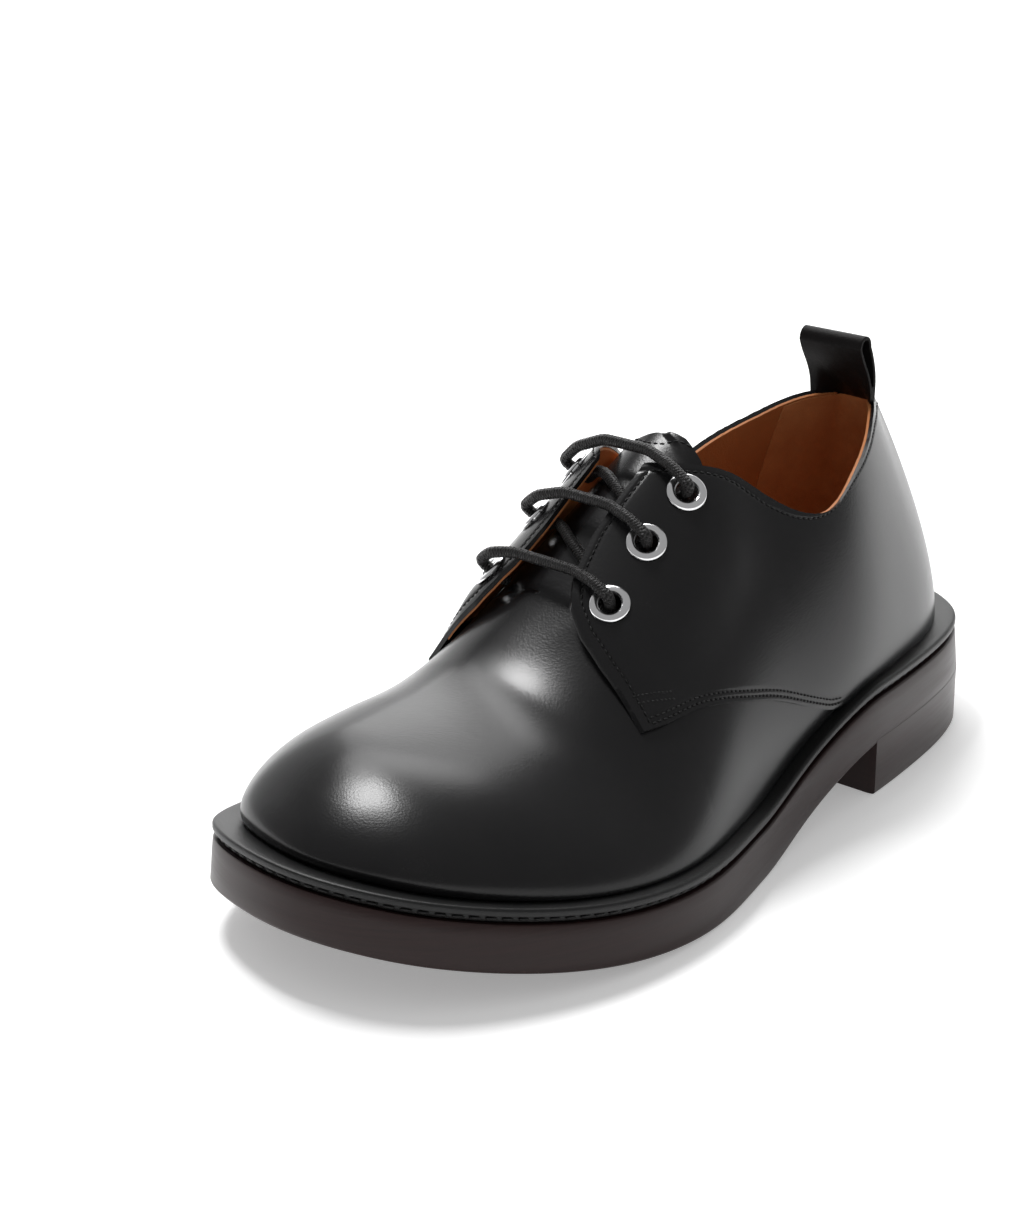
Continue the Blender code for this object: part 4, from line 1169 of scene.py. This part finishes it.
def collar_back(x):
    """The station of the middle of the collar's wall at its top, beside the heel seam."""
    u = np.linspace(-0.12, 0.12, 121)
    shares = np.linspace(0.3, 0.8, 201)
    grid = last_form(u[:, None], shares[None, :], (QUARTER_LAP + LINING_FACE) / 2.0)
    over = grid[..., 2] - np.interp(grid[..., 1], TOPLINE[:, 0], TOPLINE[:, 1])
    top = grid[np.arange(len(u)), np.argmin(np.abs(over), axis=1)]
    return np.interp(x, top[:, 0], top[:, 1])


def loop_side(inset, count=60):
    """The strap's outline in side view, inset from its faces: up the back, round the fold, down the front."""
    rows = PULL_LOOP[2:] if inset > 0.0 else PULL_LOOP
    height = np.linspace(rows[0, 0], rows[-1, 0], count)
    back = natural_curve(rows[:, 0], rows[:, 1], height) + inset
    front = natural_curve(rows[:, 0], rows[:, 2], height) - inset
    front = np.maximum(front, back + 0.15)
    middle = (back[-1] + front[-1]) / 2.0
    half = (front[-1] - back[-1]) / 2.0
    angle = np.linspace(math.pi, 0.0, 26)[1:-1]
    cap = np.stack([middle + half * np.cos(angle), height[-1] + (LOOP_CAP - inset) * np.sin(angle)], -1)
    return np.concatenate([np.stack([back, height], -1), cap, np.stack([front, height], -1)[::-1]])


def loop_layer(outline, x):
    """The side outline at one place across the strap, its foot moved to the collar's curve."""
    fade = (1.0 - np.clip((outline[:, 1] - PULL_LOOP[0, 0]) / LOOP_FADE, 0.0, 1.0)) ** 2
    shift = collar_back(x) - PULL_LOOP[1, 1:].mean()
    return np.stack([np.full(len(outline), x), outline[:, 0] + shift * fade, outline[:, 1]], -1)


outer_side = loop_side(0.0)
inner_side = loop_side(LOOP_STRAP)
across = np.linspace(-LOOP_BREADTH / 2.0, LOOP_BREADTH / 2.0, 25)
loop_grid = np.stack([loop_layer(outer_side, x) for x in across]
                     + [loop_layer(inner_side, x) for x in across[::-1]]
                     + [loop_layer(outer_side, across[0])])
loop = piece("pull_strap", to_world(loop_grid), grid_faces(*loop_grid.shape[:2], wrap=True), strap_leather,
             ["pull_loop"])
soften(loop, 0.25)

# %% [markdown]
# ## Floor and light
# A pale sheet of lit acrylic sweeps up behind the shoe, as on a product table, so it glows a little of
# itself and the shadows stay light. Polished black leather shows little but the lights, so their size and
# place draw the shoe's form: a small key box high on the medial side makes the two hot spots of the vamp and
# toe, a wide box behind makes the sheen over the medial side, and the last one lights the sweep itself.

# %% Floor
floor_material, nodes, links = new_material("pale_floor")
sheet = nodes["Principled BSDF"]
sheet.inputs["Base Color"].default_value = (0.93, 0.93, 0.93, 1.0)
sheet.inputs["Roughness"].default_value = 0.9
sheet.inputs["Emission Color"].default_value = (1.0, 1.0, 1.0, 1.0)
sheet.inputs["Emission Strength"].default_value = 0.30
sheet.inputs["Specular IOR Level"].default_value = 0.1
sweep_angle = np.linspace(0.0, math.pi / 2.0, 17)
sweep_run = np.concatenate([[-12.0], 3.0 + np.sin(sweep_angle), [4.0]])
sweep_rise = np.concatenate([[0.0], 1.0 - np.cos(sweep_angle), [4.0]])
behind = np.array([forward.x, forward.y]) / math.hypot(forward.x, forward.y)
beside = np.array([-behind[1], behind[0]])
sweep = np.array([[*(behind * run + beside * reach), height]
                  for run, height in zip(sweep_run, sweep_rise) for reach in (6.0, -6.0)])
floor_mesh = bpy.data.meshes.new("floor")
floor_mesh.from_pydata(sweep.tolist(), [], grid_faces(len(sweep_run), 2).tolist())
floor_mesh.shade_smooth()
floor_mesh.materials.append(floor_material)
floor = bpy.data.objects.new("floor", floor_mesh)
bpy.context.scene.collection.objects.link(floor)


# %% Soft boxes
def soft_box(name, at, aim, size, power):
    """A soft box with rounded ends at a place, turned to what it lights."""
    data = bpy.data.lights.new(name, "AREA")
    data.shape = "ELLIPSE"
    data.size, data.size_y = size
    data.energy = power
    made = bpy.data.objects.new(name, data)
    made.location = at
    made.rotation_euler = (Vector(aim) - Vector(at)).to_track_quat("-Z", "Y").to_euler()
    bpy.context.scene.collection.objects.link(made)


soft_box("key_box", (-0.50, -0.02, 1.34), (0.0, -0.08, 0.06), (0.36, 0.36), 12.0)
soft_box("back_box", (-0.95, 1.10, 1.30), (0.0, -0.03, 0.06), (1.4, 1.3), 10.0)
soft_box("wall_box", (-1.6, 1.5, 3.2), (-2.6, 2.9, 0.4), (2.5, 2.0), 70.0)
world = bpy.data.worlds.new("studio")
world.use_nodes = True
world.node_tree.nodes["Background"].inputs["Color"].default_value = (1.0, 1.0, 1.0, 1.0)
world.node_tree.nodes["Background"].inputs["Strength"].default_value = 0.34
bpy.context.scene.world = world
bpy.context.scene.view_settings.view_transform = "Standard"
